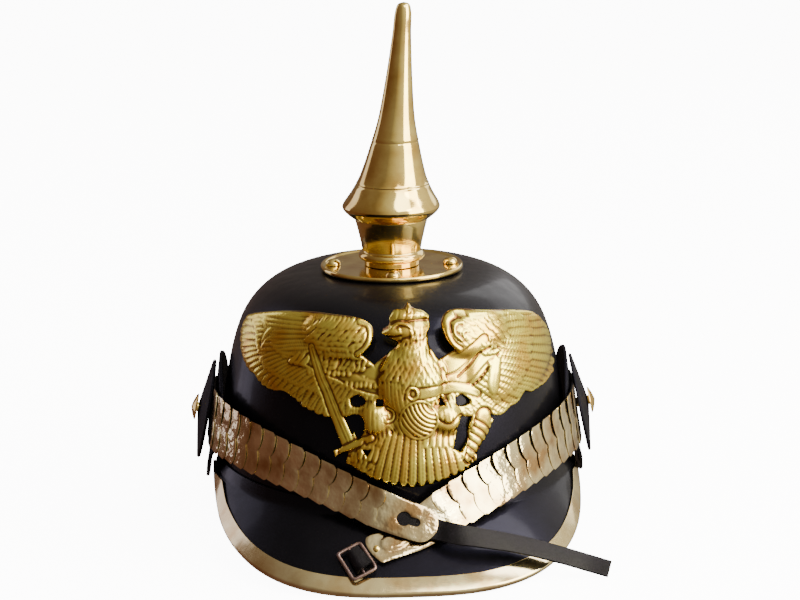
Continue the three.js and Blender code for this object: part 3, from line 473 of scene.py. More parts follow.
# one half of the chin scales: angle from the front, rise above the rim, distance off the shell, lean, width
strapColumns = ("angle", "rise", "off", "lean", "width")
underHalf = [
    (96, 29, 6, 8, 32),
    (90, 29.4, 5.6, 8, 32),
    (79, 30.2, 6.1, 8, 32),
    (71.5, 29, 6.3, 8, 31),
    (60, 26.4, 4.9, 10, 29),
    (50, 23.3, 3.8, 12, 27.5),
    (38, 18.6, 3.5, 16, 26),
    (28, 13.6, 4.6, 21, 25),
    (19, 8, 6.2, 27, 23.5),
    (12, 2.6, 8.6, 33, 22),
    (4.3, -5.2, 11.7, 41, 20),
    (-1.5, -9.2, 14.9, 46, 18.5),
    (-6.8, -13, 19.2, 48, 17),
    (-10.5, -17.2, 24.6, 48, 16),
    (-14, -20.3, 28.6, 48, 16),
    (-17, -22.7, 31.3, 48, 16),
]
overHalf = [
    (96, 29, 5.9, 8, 32),
    (90, 29.6, 5.7, 8, 32),
    (79, 30.6, 6, 8, 32),
    (71.5, 30.4, 6.1, 8, 31),
    (60, 29, 4.6, 9, 28.5),
    (50, 27.2, 3.4, 9, 27),
    (38, 23.9, 2.4, 10, 24.5),
    (28, 19.9, 2.6, 11, 22.5),
    (19, 15, 3.8, 13, 21),
    (12, 11, 6, 17, 20),
    (5, 6.5, 9.2, 21, 19.5),
    (-1, 2.6, 12, 26, 19),
    (-6, -0.4, 14.5, 30, 18.5),
    (-9.6, -2.6, 16.7, 32, 18),
]


def shellSize(rise):
    at = max(rise, 0)
    return [np.interp(at, shellSections["rise"], shellSections[key]) for key in ("halfWidth", "halfLength")]


def ovalPoint(halfWidth, halfLength, angle, z):
    return np.array([halfWidth * math.sin(angle), -halfLength * math.cos(angle), z])


def strapLine(rows, side):
    # middle of a strap's under face with its own directions, sampled along its length
    centres = []
    for angle, rise, off, _, _ in rows:
        size = shellSize(rise)
        centres.append(ovalPoint(size[0] + off, size[1] + off, math.radians(angle) * side, rimHeight + rise))
    samples, places = softLine(centres, 40)
    steps = np.linalg.norm(np.diff(samples, axis=0), axis=1)
    distance = np.concatenate([[0], np.cumsum(steps)])
    forward = np.gradient(samples, distance, axis=0)
    forward /= np.linalg.norm(forward, axis=1)[:, None]
    columns = zip(strapColumns, np.array(rows, float).T)
    row = {key: np.interp(places, range(len(rows)), column) for key, column in columns}
    turn, lean = np.radians(row["angle"]) * side, np.radians(row["lean"])
    out = np.stack([np.sin(turn) / ovalTurn[0], -np.cos(turn) / ovalTurn[1], 0 * turn], 1)
    face = out / np.linalg.norm(out, axis=1)[:, None] * np.cos(lean)[:, None]
    face[:, 2] = np.sin(lean)
    across = np.cross(face, forward)
    across /= np.linalg.norm(across, axis=1)[:, None]
    return {
        "length": distance[-1],
        "distance": distance,
        "centre": samples,
        "forward": forward,
        "across": across,
        "face": np.cross(forward, across),
        "width": row["width"],
    }


def alongLine(line, at):
    # centre, forward, across, face and width at distances along a strap line
    at = np.atleast_1d(np.asarray(at, float))
    found = []
    for key in ("centre", "forward", "across", "face"):
        columns = [np.interp(at, line["distance"], line[key][:, i]) for i in range(3)]
        value = np.stack(columns, 1)
        found.append(value if key == "centre" else value / np.linalg.norm(value, axis=1)[:, None])
    return (*found, np.interp(at, line["distance"], line["width"]))


def onLine(line, points):
    # points given as distance along a line, across it and off it
    p = np.asarray(points, float)
    centre, forward, across, face, _ = alongLine(line, p[:, 0])
    beyond = p[:, 0] - np.clip(p[:, 0], 0, line["length"])
    return centre + forward * beyond[:, None] + across * p[:, 1:2] + face * p[:, 2:3]


def laidOn(line, distance, reach, lift):
    # where a piece modelled flat is set down, with +X along the line and +Z off it
    centre, _, _, face, _ = alongLine(line, [distance, distance + reach / 4, distance + reach])
    forward = unit(centre[2] - centre[0])
    across = unit(np.cross(face[1], forward))
    up = unit(np.cross(forward, across))
    turn = Matrix((forward, across, up)).transposed().to_4x4()
    turn.translation = Vector(centre[0] + up * lift)
    return turn


underLine = strapLine(underHalf, 1)
overLine = strapLine(overHalf, -1)

# loose leather tongue

tongue = {
    "thickness": 1.4,
    "startWidth": 11.6,
    "endWidth": 9.4,
    "firstFromEnd": 10.7,
    "secondFromEnd": 5,
    "route": [
        (28.9, -127.9, 28.2),
        (38.1, -127.5, 26.2),
        (60, -122, 20),
        (84, -117.5, 11.7),
        (97, -116, 7),
        (107.8, -117.6, 4),
    ],
    "faces": [
        (0.2, -0.85, 0.42),
        (0.3, -0.72, 0.58),
        (0.2, -0.7, 0.7),
        (0.4, -0.66, 0.68),
        (0.3, -0.72, 0.66),
        (0.2, -0.74, 0.66),
    ],
}


def strapSection(half, thickness, edge=0.45):
    # cross-section of a flat strap with its edges dressed round: across, off
    corners = [(-half, 0), (half, 0), (half, thickness), (-half, thickness)]
    return roundedCorners(corners, edge, closes=True, steps=3)


def addTongue():
    length = overLine["length"]
    lead = [length - tongue["firstFromEnd"], length - tongue["secondFromEnd"], length]
    centre, _, _, face, _ = alongLine(overLine, lead)
    samples, places = softLine([*centre, *tongue["route"]], 14)
    faces = np.array([*face, *[unit(np.array(f)) for f in tongue["faces"]]])
    forward = np.gradient(samples, axis=0)
    rings, middle = [], []
    for at, ahead, place in zip(samples, forward, places):
        k = min(int(place), len(faces) - 2)
        facing = faces[k] + (faces[k + 1] - faces[k]) * (place - k)
        across = unit(np.cross(facing, ahead))
        up = unit(np.cross(ahead, across))
        share = place / (len(faces) - 1)
        half = (tongue["startWidth"] + (tongue["endWidth"] - tongue["startWidth"]) * share) / 2
        rings.append([at + across * x + up * z for x, z in strapSection(half, tongue["thickness"])])
        middle.append(at + up * tongue["thickness"] / 2)
    piece = makePiece("strap_tongue", loft(rings), strapLeather, ["tongue_strap"], sharp=40)


addTongue()
setLights()
setRoom()
setBackdrop()
setFloor()
print("camera, light and tongue made")

# shell

shell = {"around": 160, "edge": 0.9, "edgeRound": 0.27}


def shellPoint(row, angle):
    halfWidth, halfLength, rise = row
    return ovalPoint(halfWidth, halfLength, angle, rimHeight + rise)


def makeShell():
    rows = list(zip(shellSections["halfWidth"], shellSections["halfLength"], shellSections["rise"]))
    samples, _ = softLine(rows, 12)
    domeRise = rows[-1][2]
    lower = (domeRise - leather) / domeRise
    outside = [np.array(s) for s in samples]
    outside[-1] = np.array([0, 0, domeRise])
    inside = [np.array([max(s[0] - leather, 0), max(s[1] - leather, 0), s[2] * lower]) for s in outside]
    edge, soft = shell["edge"], shell["edgeRound"]
    rim = [
        inside[0] + [0, 0, edge],
        inside[0] + [soft, soft, soft],
        inside[0] + [edge, edge, 0],
        outside[0] - [edge, edge, 0],
        outside[0] + [-soft, -soft, soft],
        outside[0] + [0, 0, edge],
    ]
    profile = inside[:0:-1] + rim + outside[1:]
    surface = ringSurface(profile, shell["around"], shellPoint)
    piece = makePiece("helmet_shell", surface, lacquer, ["shell"])
    piece.data.materials.append(insideLeather)
    within = np.arange(len(profile) - 1) < len(inside)
    slots = np.repeat(within, shell["around"]).astype(int)
    piece.data.polygons.foreach_set("material_index", slots.tolist())


makeShell()

# peaks and the brass edge

# a peak's edge is a squarish oval in plan, which falls with its distance ahead of the helmet's middle
frontPeak = {
    "halfWidth": 99.6,
    "reach": 143.2,
    "squareness": 2.75,
    "turn": 1.9,
    "endAngle": 86,
    "edgeHeight": 2.74,
    "fullDropAt": 143.2,
    "fall": 0.8,
}
rearPeak = {
    "halfWidth": 99.6,
    "reach": 135,
    "squareness": 2.4,
    "turn": 0,
    "endAngle": 84,
    "edgeHeight": 1.48,
    "fullDropAt": 100,
    "fall": 1,
}
peakForm = {
    "crown": 0.6,
    "steepest": 1.4,
    "flangeHeight": 7,
    "flangeTop": 0.9,
    "flangeRounds": (0.3, 0.5),
    "bendRise": 0.6,
    "bendRound": 1.6,
    "rimDrop": 1.6,
    "edgeRound": 0.6,
    "around": 140,
    "across": 9,
}
peakTrim = {
    "around": 220,
    "metal": 0.8,
    "topLeg": 8.6,
    "underLeg": 5,
    "offFlange": 1.5,
    "least": 0.5,
    "rounds": [0.3, 0.35, 1.7, 1.7, 0.3, 0.3, 0.2, 0.2],
}


def peakLine(peak, angle, facing):
    # root, middle and edge of a peak's upper face, and the direction off its under face
    rim = shellSize(0)
    off = gap + leather
    root = ovalPoint(rim[0] + off, rim[1] + off, angle, rimHeight + peakForm["bendRise"])
    x, y = rim[0] * math.sin(angle), rim[1] * math.cos(angle)
    turn = math.radians(peak["turn"])
    sideways, ahead = x * math.cos(turn) - y * math.sin(turn), x * math.sin(turn) + y * math.cos(turn)
    power = peak["squareness"]
    far = abs(sideways / peak["halfWidth"]) ** power + abs(ahead / peak["reach"]) ** power
    stretch = far ** (-1 / power)
    x, y = x * stretch, y * stretch
    share = min(max(ahead * stretch / peak["fullDropAt"], 0), 1) ** peak["fall"]
    width = math.hypot(x - root[0], y + root[1])
    drop = min((root[2] - peak["edgeHeight"]) * share, width * peakForm["steepest"])
    edge = np.array([x, -y, root[2] - drop])
    around = unit(np.array([root[1], -root[0], 0]))
    slope = unit(edge - root)
    up = unit(np.cross(around, slope))
    middle = (root + edge) / 2 + up * peakForm["crown"]
    flip = np.array([1, facing, 1])
    return root * flip, middle * flip, edge * flip, up * flip


def peakAngles(peak, steps):
    return np.radians(np.linspace(-peak["endAngle"], peak["endAngle"], steps))


def makePeak(name, peak, facing, node):
    flip = np.array([1, facing, 1])
    high = peakForm["flangeHeight"]
    size, rim = shellSize(high), shellSize(0)
    turnTop = gap + peakForm["flangeTop"]
    soft = peakForm["edgeRound"]
    rings = []
    for angle in peakAngles(peak, peakForm["around"]):
        root, middle, edge, up = peakLine(peak, angle, facing)
        bow = 2 * middle - (root + edge) / 2
        shares = np.linspace(0, 1, peakForm["across"])
        upper = [root * (1 - t) ** 2 + bow * 2 * t * (1 - t) + edge * t**2 for t in shares]
        under = [p - up * leather for p in upper[:0:-1]]
        corners = [
            ovalPoint(size[0] + gap, size[1] + gap, angle, rimHeight + high) * flip,
            ovalPoint(size[0] + turnTop, size[1] + turnTop, angle, rimHeight + high) * flip,
            *upper,
            *under[:-1],
            ovalPoint(rim[0] + gap, rim[1] + gap, angle, rimHeight - peakForm["rimDrop"]) * flip,
        ]
        radii = [*peakForm["flangeRounds"], peakForm["bendRound"], *[0] * (len(upper) - 2), soft, soft]
        radii += [*[0] * (len(under) - 2), soft]
        rings.append(roundedCorners(corners, radii, closes=True, steps=3))
    makePiece(name, loft(rings), lacquer, [node], sharp=50)


def makePeakEdge():
    rings = []
    outer = -gap - peakTrim["metal"]
    under = -leather - gap
    for angle in peakAngles(frontPeak, peakTrim["around"]):
        root, middle, edge, up = peakLine(frontPeak, angle, 1)
        inwards = unit(middle - edge)
        room = max(np.linalg.norm(root - edge) - peakTrim["offFlange"], peakTrim["least"])
        top, low = min(peakTrim["topLeg"], room), min(peakTrim["underLeg"], room / 2)
        corners = [
            (top, gap),
            (top, -outer),
            (outer, -outer),
            (outer, under - peakTrim["metal"]),
            (low, under - peakTrim["metal"]),
            (low, under),
            (-gap, under),
            (-gap, gap),
        ]
        ring = [edge + inwards * along + up * off for along, off in corners]
        rings.append(roundedCorners(ring, peakTrim["rounds"], closes=True, steps=5))
    makePiece("peak_edge_brass", loft(rings), rolledBrass, ["front_peak_trim"], sharp=50)


makePeak("front_peak_leather", frontPeak, 1, "front_peak")
makePeak("rear_peak_leather", rearPeak, -1, "rear_peak")
makePeakEdge()
print("shell and peaks made")

# disc, studs, neck and spike

# radius, height and corner radius
discRows = [
    (0, -1.6, 0),
    (30, -1.6, 0.5),
    (37.6, -2.2, 0.5),
    (39, -1.4, 0.5),
    (39, 0.2, 0.5),
    (38.2, 1.0, 0.5),
    (36.8, 0.6, 0.5),
    (36, 0, 0.5),
    (0, 0, 0),
]
neckRows = [
    (0, 0.3, 0),
    (14.9, 0.3, 0.3),
    (14.9, 3.2, 0.6),
    (17.3, 3.8, 0.5),
    (18.4, 5.6, 1.4),
    (17.3, 7.4, 1.2),
    (16, 8.2, 1.0),
    (16.6, 12, 2.5),
    (18.4, 20, 4),
    (20, 26, 0.3),
    (0, 26, 0),
]
collarRows = [(0, 26.3, 0), (20.8, 26.3, 0.3), (23.6, 28.4, 0.6), (26.2, 31, 0.8)]
# radius and height
flankRows = [
    (26.7, 32.8),
    (26, 34.6),
    (22, 41),
    (18.7, 47.7),
    (16.5, 54.3),
    (13, 67.4),
    (10, 80.6),
    (7.5, 100),
    (5.1, 126),
    (4.3, 138.6),
    (3, 142.2),
    (0, 143.3),
]
turnedLine = {"heights": (45.1, 68.6), "depth": 0.16, "floor": 0.1, "mouth": 0.4, "clear": 0.5}
spikeLean = {"degrees": 4.2, "from": 33}
stud = {"circle": 32, "radius": 4, "height": 3.2, "foot": 0.5, "count": 4}


def cutLine(flank, at):
    # fine line left by the lathe tool
    width = np.interp(at, flank[:, 1], flank[:, 0])
    depth, floor, mouth = turnedLine["depth"], turnedLine["floor"], turnedLine["mouth"]
    cut = [(width, at - mouth), (width - depth, at - floor), (width - depth, at + floor), (width, at + mouth)]
    below = flank[flank[:, 1] < at - turnedLine["clear"]]
    above = flank[flank[:, 1] > at + turnedLine["clear"]]
    return np.concatenate([below, cut, above])


def addSpike():
    lift = Matrix.Translation((0, 0, discTop))
    addTurned("spike_base_disc", "spike_disc", turnedProfile(discRows), lift)
    addTurned("spike_neck_turned", "spike_neck", turnedProfile(neckRows, steps=6), lift)

    flank, _ = softLine(flankRows, 8)
    for at in turnedLine["heights"]:
        flank = cutLine(flank, at)
    corners = [row[:2] for row in collarRows] + [flank[0], flank[1]]
    radii = [row[2] for row in collarRows] + [collarRows[-1][2], 0]
    collar = roundedCorners(corners, radii)[:-1]
    rows = [tuple(r) for r in collar] + [(max(r, 0), h) for r, h in flank[1:]]
    rows[-1] = (0, rows[-1][1])
    points, faces = turnedSurface(rows)
    lean = math.tan(math.radians(spikeLean["degrees"]))
    points[:, 0] += np.maximum(points[:, 2] - spikeLean["from"], 0) * lean
    addTurned("spike_turned", "spike", (points, faces), lift)

    dome = domeRows(stud["radius"], stud["foot"], stud["height"], 10)
    for i in range(stud["count"]):
        angle = i / stud["count"] * 2 * math.pi
        spot = Matrix.Translation(ovalPoint(stud["circle"], stud["circle"], angle, discTop + gap))
        surface = turnedSurface([(0, 0), (stud["radius"], 0), *dome], 40)
        name = f"disc_stud_{i + 1}"
        addTurned("domed_" + name, name, surface, spot)


addSpike()
print("spike made")

# side discs and bosses

sideStack = {
    "rise": 28,
    "innerStandOff": 97.9,
    "innerTilt": 7.4,
    "outerStandOff": 102.8,
    "outerTilt": 11.8,
    "outerTurn": 3,
}
innerDisc = {"radius": 35, "thickness": 1.8, "hole": 4.6, "drop": 2.8, "holeRound": 0.3, "edgeRound": 0.8}
discBend = {"radius": 121, "from": -24, "to": -6}
outerDisc = {"radius": 27.5, "dish": 4.4, "power": 1.05, "thickness": 1.6, "hole": 2.9, "inset": 0.5}
outerEdge = (0.3, 0.7)  # places of the edge's corners over its thickness
boss = {"post": 2.6, "postLength": 13.2, "postRound": 0.4}
bossRows = [(7.4, 0, 0.4), (6.9, 0.9, 0.6), (3.2, 2.4, 1.2), (0, 3.2, 0)]


def sideMount(side, standOff, tilt, turn=0):
    spot = Matrix.Translation((side * standOff, 0, rimHeight + sideStack["rise"]))
    turned = Matrix.Rotation(-side * math.radians(turn), 4, "Z")
    return spot @ turned @ Matrix.Rotation(side * (math.pi / 2 - math.radians(tilt)), 4, "Y")


def innerDiscSurface(side):
    # flat disc, bent round the shell in its lower part
    radius, thick, hole = innerDisc["radius"], innerDisc["thickness"], innerDisc["hole"]
    holeRound, edgeRound = innerDisc["holeRound"], innerDisc["edgeRound"]
    reach = np.linspace(hole + 2 * holeRound, radius - 1.5 * edgeRound, 14)
    flat = [0] * len(reach)
    corners = [(hole, 0), *zip(reach, flat), (radius, 0), (radius, thick)]
    corners += [*[(r, thick) for r in reach[::-1]], (hole, thick)]
    radii = [holeRound, *flat, edgeRound, edgeRound, *flat, holeRound]
    rows = roundedCorners(corners, radii, closes=True)
    points, faces = turnedSurface([tuple(r) for r in [*rows, rows[0]]])
    share = (np.hypot(points[:, 0], points[:, 1]) - hole) / (radius - hole)
    lower = points[:, 0] * side + innerDisc["drop"] * share
    bend = np.clip((-lower - discBend["from"]) / (discBend["to"] - discBend["from"]), 0, 1)
    back = bend * bend * (3 - 2 * bend) * points[:, 1] ** 2 / 2 / discBend["radius"]
    return np.column_stack([lower * side, points[:, 1], points[:, 2] - back]), faces


def addSideStack(side, word):
    inner = sideMount(side, sideStack["innerStandOff"], sideStack["innerTilt"])
    surface = innerDiscSurface(side)
    nodes = ["inner_disc_" + word]
    makePiece("leather_disc_" + word, surface, discLeather, nodes, inner, sharp=60)

    outer = sideMount(side, sideStack["outerStandOff"], sideStack["outerTilt"], sideStack["outerTurn"])
    radius, thick, hole = outerDisc["radius"], outerDisc["thickness"], outerDisc["hole"]
    reach = np.linspace(hole, radius - outerDisc["inset"], 22)
    lift = outerDisc["dish"] * (1 - (reach / radius) ** outerDisc["power"])
    edge = [(radius, thick * share) for share in outerEdge]
    rows = [*zip(reach, lift), *edge, *zip(reach[::-1], lift[::-1] + thick)]
    surface = turnedSurface([*rows, rows[0]])
    nodes = ["outer_disc_" + word]
    makePiece("dished_disc_" + word, surface, discLeather, nodes, outer, sharp=60)

    base = outerDisc["dish"] + thick + gap
    foot = base - boss["postLength"]
    rows = [(0, foot, 0), (boss["post"], foot, boss["postRound"]), (boss["post"], base, 0)]
    rows += [(r, base + height, corner) for r, height, corner in bossRows]
    addTurned("pointed_boss_" + word, "boss_" + word, turnedProfile(rows, segments=64), outer)


for side, word in ((-1, "left"), (1, "right")):
    addSideStack(side, word)
print("side discs made")

# chin scales

backing = {"thickness": 1.4, "narrower": 3, "hole": 4}
scale = {"pitch": 9.6, "length": 12.6, "first": 36.5}
scaleForm = {
    "lobe": 3,
    "notch": 0.35,
    "rootInset": 0.6,
    "metal": 0.4,
    "lift": 3.8,
    "follow": 0.55,
    "camber": 0.22,
    "dip": 0.25,
    "beaten": 0.035,
    "edgeRound": 0.15,
    "cells": 28,
    "rows": 12,
}
endPlate = {
    "metal": 0.8,
    "overLength": 33,
    "underLength": 44,
    "beyond": 25.4,
    "tongueRoom": 11,
    "buckleRoom": 9,
}
plateLift = backing["thickness"] + gap


def lobeReach(u):
    # how far a scale reaches at u, from -1 to 1 across it
    inLobe = max((abs(u) - 0.5) / 0.5, -math.cos(scaleForm["notch"]))
    return scale["length"] - scaleForm["lobe"] * (1 - math.sqrt(max(1 - inLobe**2, 0)))


def scaleSurface(width, seed):
    # thin plate with two round lobes at its free end, each raised a little in its middle
    cells, rows, half = scaleForm["cells"], scaleForm["rows"], width / 2
    beat = np.random.default_rng(seed).normal(0, 1, (4, 3))
    top, low = [], []
    for k in range(rows + 1):
        v = k / rows
        for i in range(cells + 1):
            u = -1 + 2 * i / cells
            x = lobeReach(u) * v
            y = u * (half - scaleForm["rootInset"] * (1 - v))
            raised = scaleForm["camber"] * v * (1 - (2 * abs(u) - 1) ** 2)
            for a, b, c in beat:
                wave = math.sin(x * (0.35 + 0.1 * a) + y * (0.3 + 0.12 * b) + c * 3)
                raised += scaleForm["beaten"] * wave * v
            edge = min(1, 8 * (1 - abs(u)), 10 * (1 - v))
            raised -= scaleForm["dip"] * (x / scale["length"]) ** 4
            low.append((x, y, raised))
            top.append((x, y, scaleForm["metal"] + raised - scaleForm["edgeRound"] * (1 - edge) ** 2))
    across = cells + 1
    count = len(top)
    faces = []
    for k in range(rows):
        for i in range(cells):
            a = k * across + i
            faces.append((a, a + 1, a + across + 1, a + across))
            faces.append((count + a, count + a + across, count + a + across + 1, count + a + 1))
    border = [k * across for k in range(rows)] + [rows * across + i for i in range(cells)]
    border += [k * across + cells for k in range(rows, 0, -1)] + list(range(cells, 0, -1))
    for a, b in zip(border, border[1:] + border[:1]):
        faces.append((a, b, count + b, count + a))
    return np.array(top + low), faces


def addHalf(line, side, word, plateStart, backingEnd):
    stations = [*np.arange(0, backingEnd, 2.0), backingEnd]
    rings = []
    for d, width in zip(stations, alongLine(line, stations)[4]):
        section = strapSection((width - backing["narrower"]) / 2, backing["thickness"])
        rings.append(onLine(line, [(d, x, z) for x, z in section]))
    name = "strap_backing_" + word
    makePiece("leather_" + name, loft(rings), strapLeather, [name], sharp=50)

    count = round((plateStart - scale["first"]) / scale["pitch"])
    pitch = (plateStart - scale["first"]) / count
    for i in range(count):
        distance = scale["first"] + i * pitch
        spots = [distance, distance + pitch / 2, distance + pitch * 1.5]
        _, forward, across, face, width = alongLine(line, spots)
        rising = max(float(forward[2] @ face[1]), 0)
        twist = abs(float(across[2] @ face[1]))
        tilt = -math.radians(scaleForm["lift"]) - (rising + twist) * scaleForm["follow"]
        turn = laidOn(line, distance, scale["length"], plateLift) @ Matrix.Rotation(tilt, 4, "Y")
        name = f"scale_{word}_{i + 1:02d}"
        surface = scaleSurface(width[0], i + (50 if side > 0 else 0))
        makePiece("lobed_" + name, surface, scaleBrass, [name], turn, sharp=40)


underTip = underLine["length"] - endPlate["beyond"]
overStart = overLine["length"] - endPlate["overLength"]
underStart = underTip - endPlate["underLength"]
addHalf(underLine, 1, "right", underStart, underTip - endPlate["buckleRoom"] - gap)
addHalf(overLine, -1, "left", overStart, overLine["length"] - endPlate["tongueRoom"])
print("scales made")

# end plates

rowShare = 0.866  # height of an even triangle over its side
sheetForm = {"spacing": 0.9, "offBorder": 0.55, "alongBorder": 1.2, "edgeRound": 0.3, "edgeWidth": 0.5}


def cutSheet(outline, holes, spacing):
    # points and triangles that fill an outline less its holes, about evenly spaced
    rings = [np.array(ring, float) for ring in (outline, *holes)]
    border, edges = [], []
    for ring in rings:
        start, count = len(border), len(ring)
        border += [Vector(p) for p in ring]
        edges += [(start + i, start + (i + 1) % count) for i in range(count)]
    low, high = rings[0].min(0), rings[0].max(0)
    rowStep = spacing * rowShare
    grid = []
    for k in range(int((high[1] - low[1]) / rowStep) + 1):
        x = np.arange(low[0] + (k % 2) * spacing / 2, high[0], spacing)
        grid.append(np.stack([x, np.full_like(x, low[1] + k * rowStep)], 1))
    grid = np.concatenate(grid)
    keep = insideOf(grid, rings) & (distanceTo(grid, rings) > spacing * sheetForm["offBorder"])
    return meshOf(border + [Vector(p) for p in grid[keep]], edges, 1e-5, lambda p: insideOf(p, rings))


def meshOf(points, edges, merge, wanted):
    # triangles between points, less those whose middle isn't wanted
    made, _, triangles, _, _, _ = delaunay_2d_cdt(points, edges, [], 0, merge)
    made = np.array([tuple(p) for p in made])
    triangles = np.array([t for t in triangles if len(t) == 3])
    triangles = triangles[wanted(made[triangles].mean(1))]
    used = np.unique(triangles)
    renumber = np.full(len(made), -1)
    renumber[used] = np.arange(len(used))
    return made[used], renumber[triangles]


def insideOf(points, rings):
    # even-odd test against all rings together
    x, y = points[:, 0], points[:, 1]
    inside = np.zeros(len(points), bool)
    for ring in rings:
        for a, b in zip(ring, np.roll(ring, -1, 0)):
            crosses = (a[1] > y) != (b[1] > y)
            if crosses.any():
                at = a[0] + (y - a[1]) / (b[1] - a[1] + 1e-12) * (b[0] - a[0])
                inside ^= crosses & (x < at)
    return inside


def distanceTo(points, rings):
    nearest = np.full(len(points), 1e9)
    for ring in rings:
        for a, b in zip(ring, np.roll(ring, -1, 0)):
            along = b - a
            share = np.clip((points - a) @ along / max(along @ along, 1e-12), 0, 1)
            nearest = np.minimum(nearest, np.linalg.norm(points - a - share[:, None] * along, axis=1))
    return nearest


def thickSheet(triangles, upper, lower):
    # closed plate from its flat triangles and the placed points of both faces
    count = len(upper)
    faces = [tuple(t) for t in triangles] + [tuple(count + t[::-1]) for t in triangles]
    edges = dict.fromkeys(e for a, b, c in triangles for e in ((a, b), (b, c), (c, a)))
    for a, b in edges:
        if (b, a) not in edges:
            faces.append((b, a, count + a, count + b))
    return np.concatenate([upper, lower]), faces


keyhole = {"radius": 3.7, "slotWidth": 4.2, "slotLength": 8.6, "fromTip": 17.5}
emboss = {"fromTip": 14, "halfLength": 8, "halfWidth": 4.4, "rise": 0.7, "outer": 1.12, "slope": 0.24}
endStud = {"radius": 1.7, "fromTip": 3.4, "height": 1.3}


def plateOutline(line, start, tip, roundEnd):
    # outline of an end plate as distance and across, with its far end rounded
    ending = tip - roundEnd * (1 - np.sin(np.linspace(0, math.pi / 2, 16)))
    spots = [*np.arange(start, tip - roundEnd, sheetForm["alongBorder"]), *ending]
    half = []
    for d, width in zip(spots, alongLine(line, spots)[4]):
        left = max((roundEnd - (tip - d)) / roundEnd, 0)
        half.append(width / 2 * math.sqrt(max(1 - left**2, 0.0)))
    right = list(zip(spots, half))
    return right[:-1] + [(tip, 0)] + [(d, -h) for d, h in right[-2::-1]]


def keyholeOutline():
    at = overLine["length"] - keyhole["fromTip"]
    radius, slotHalf = keyhole["radius"], keyhole["slotWidth"] / 2
    opens = math.asin(slotHalf / radius)
    turn = np.linspace(opens, 2 * math.pi - opens, 36)
    hole = [(at + radius * math.cos(a), radius * math.sin(a)) for a in turn]
    end = at + keyhole["slotLength"] - slotHalf
    turn = np.linspace(-1.57, 1.57, 14)
    return hole + [(end + slotHalf * math.cos(a), slotHalf * math.sin(a)) for a in turn]


def raisedOval(flat):
    middle = underTip - emboss["fromTip"]
    far = np.hypot((flat[:, 0] - middle) / emboss["halfLength"], flat[:, 1] / emboss["halfWidth"])
    return emboss["rise"] * np.clip((emboss["outer"] - far) / emboss["slope"], 0, 1)


def addEndPlate(name, node, line, outline, holes, raised=None):
    flat, triangles = cutSheet(outline, holes, sheetForm["spacing"])
    fall = distanceTo(flat, [np.array(ring) for ring in (outline, *holes)])
    soft = sheetForm["edgeRound"] * np.clip(1 - fall / sheetForm["edgeWidth"], 0, 1) ** 2
    top = plateLift + endPlate["metal"] - soft + (raised(flat) if raised else 0)
    upper = onLine(line, np.column_stack([flat, top]))
    lower = onLine(line, np.column_stack([flat, np.full(len(flat), plateLift)]))
    surface = thickSheet(triangles, upper, lower)
    makePiece(name, surface, scaleBrass, [node], sharp=50)


overPlate = plateOutline(overLine, overStart, overLine["length"], 8)
underPlate = plateOutline(underLine, underStart, underTip, 3)
addEndPlate("keyhole_plate", "end_plate_left", overLine, overPlate, [keyholeOutline()])
addEndPlate("oval_plate", "end_plate_right", underLine, underPlate, [], raisedOval)
dome = domeRows(endStud["radius"], 0, endStud["height"], 8)
spot = laidOn(underLine, underTip - endStud["fromTip"], 2, plateLift + endPlate["metal"] + gap)
addTurned("tip_stud", "end_stud", turnedSurface([(0, 0), *dome], 32), spot)

# buckle and its strap

buckle = {
    "along": 15,
    "across": 19.5,
    "corner": 1.8,
    "bar": 2,
    "middleBar": 1.6,
    "flatness": 0.8,
    "pastTip": 8.6,
}
buckleStrap = {"width": 12.5, "fold": 5, "bend": 1.2, "pinch": 2, "outerBow": 0.8, "innerBow": 0.2}


def addBuckle():
    bar = buckle["bar"]
    depth = bar * buckle["flatness"]
    x, y = (buckle["along"] - bar) / 2, (buckle["across"] - bar) / 2
    path = roundedCorners([(-x, -y), (x, -y), (x, y), (-x, y)], buckle["corner"], closes=True, steps=6)
    turn = np.linspace(0, 2 * math.pi, 17)[:-1]
    rings = []
    for k, spot in enumerate(path):
        ahead = unit(path[(k + 1) % len(path)] - path[k - 1])
        side = np.array([ahead[1], -ahead[0]])
        places = [spot + side * math.cos(a) * bar / 2 for a in turn]
        rings.append([(*p, depth / 2 + depth / 2 * math.sin(a)) for p, a in zip(places, turn)])
    spot = laidOn(underLine, underTip + buckle["pastTip"], 3, plateLift)
    wire = loft(rings, around=True)
    makePiece("buckle_wire", wire, buckleSteel, ["buckle_frame"], spot, sharp=60)
    rod = buckle["middleBar"] / 2
    high = rod * buckle["flatness"]
    rings = [[(rod * math.cos(a), end, depth / 2 + high * math.sin(a)) for a in turn] for end in (-y, y)]
    makePiece("buckle_middle_bar", loft(rings), buckleSteel, [], spot, sharp=60)

    # the strap runs under the bar, round it and back over it
    thick, half = backing["thickness"], buckleStrap["width"] / 2
    start = underTip - endPlate["buckleRoom"]
    end = underTip + buckle["pastTip"] + rod + gap + thick / 2
    bends, back = end - buckleStrap["bend"], end - buckleStrap["pinch"] - buckleStrap["fold"]
    far, near = end + thick * buckleStrap["outerBow"], end - thick * buckleStrap["innerBow"]
    top = plateLift + depth + gap
    outer = [(start, 0), (bends, 0), (far, top / 2), (bends, top + thick), (back, top + thick)]
    inner = [(start, thick), (bends, thick), (near, top / 2 + thick), (bends, top), (back, top)]
    rings = []
    for a, b in zip(softLine(outer, 10)[0], softLine(inner, 10)[0]):
        corners = [(a[0], -half, a[1]), (a[0], half, a[1]), (b[0], half, b[1]), (b[0], -half, b[1])]
        rings.append(onLine(underLine, corners))
    makePiece("buckle_loop", loft(rings), strapLeather, ["buckle_strap"], sharp=40)


addBuckle()
print("buckle made")

# eagle plate: drawn flat as across from the bird's middle and up from the rim, then bent round the helmet

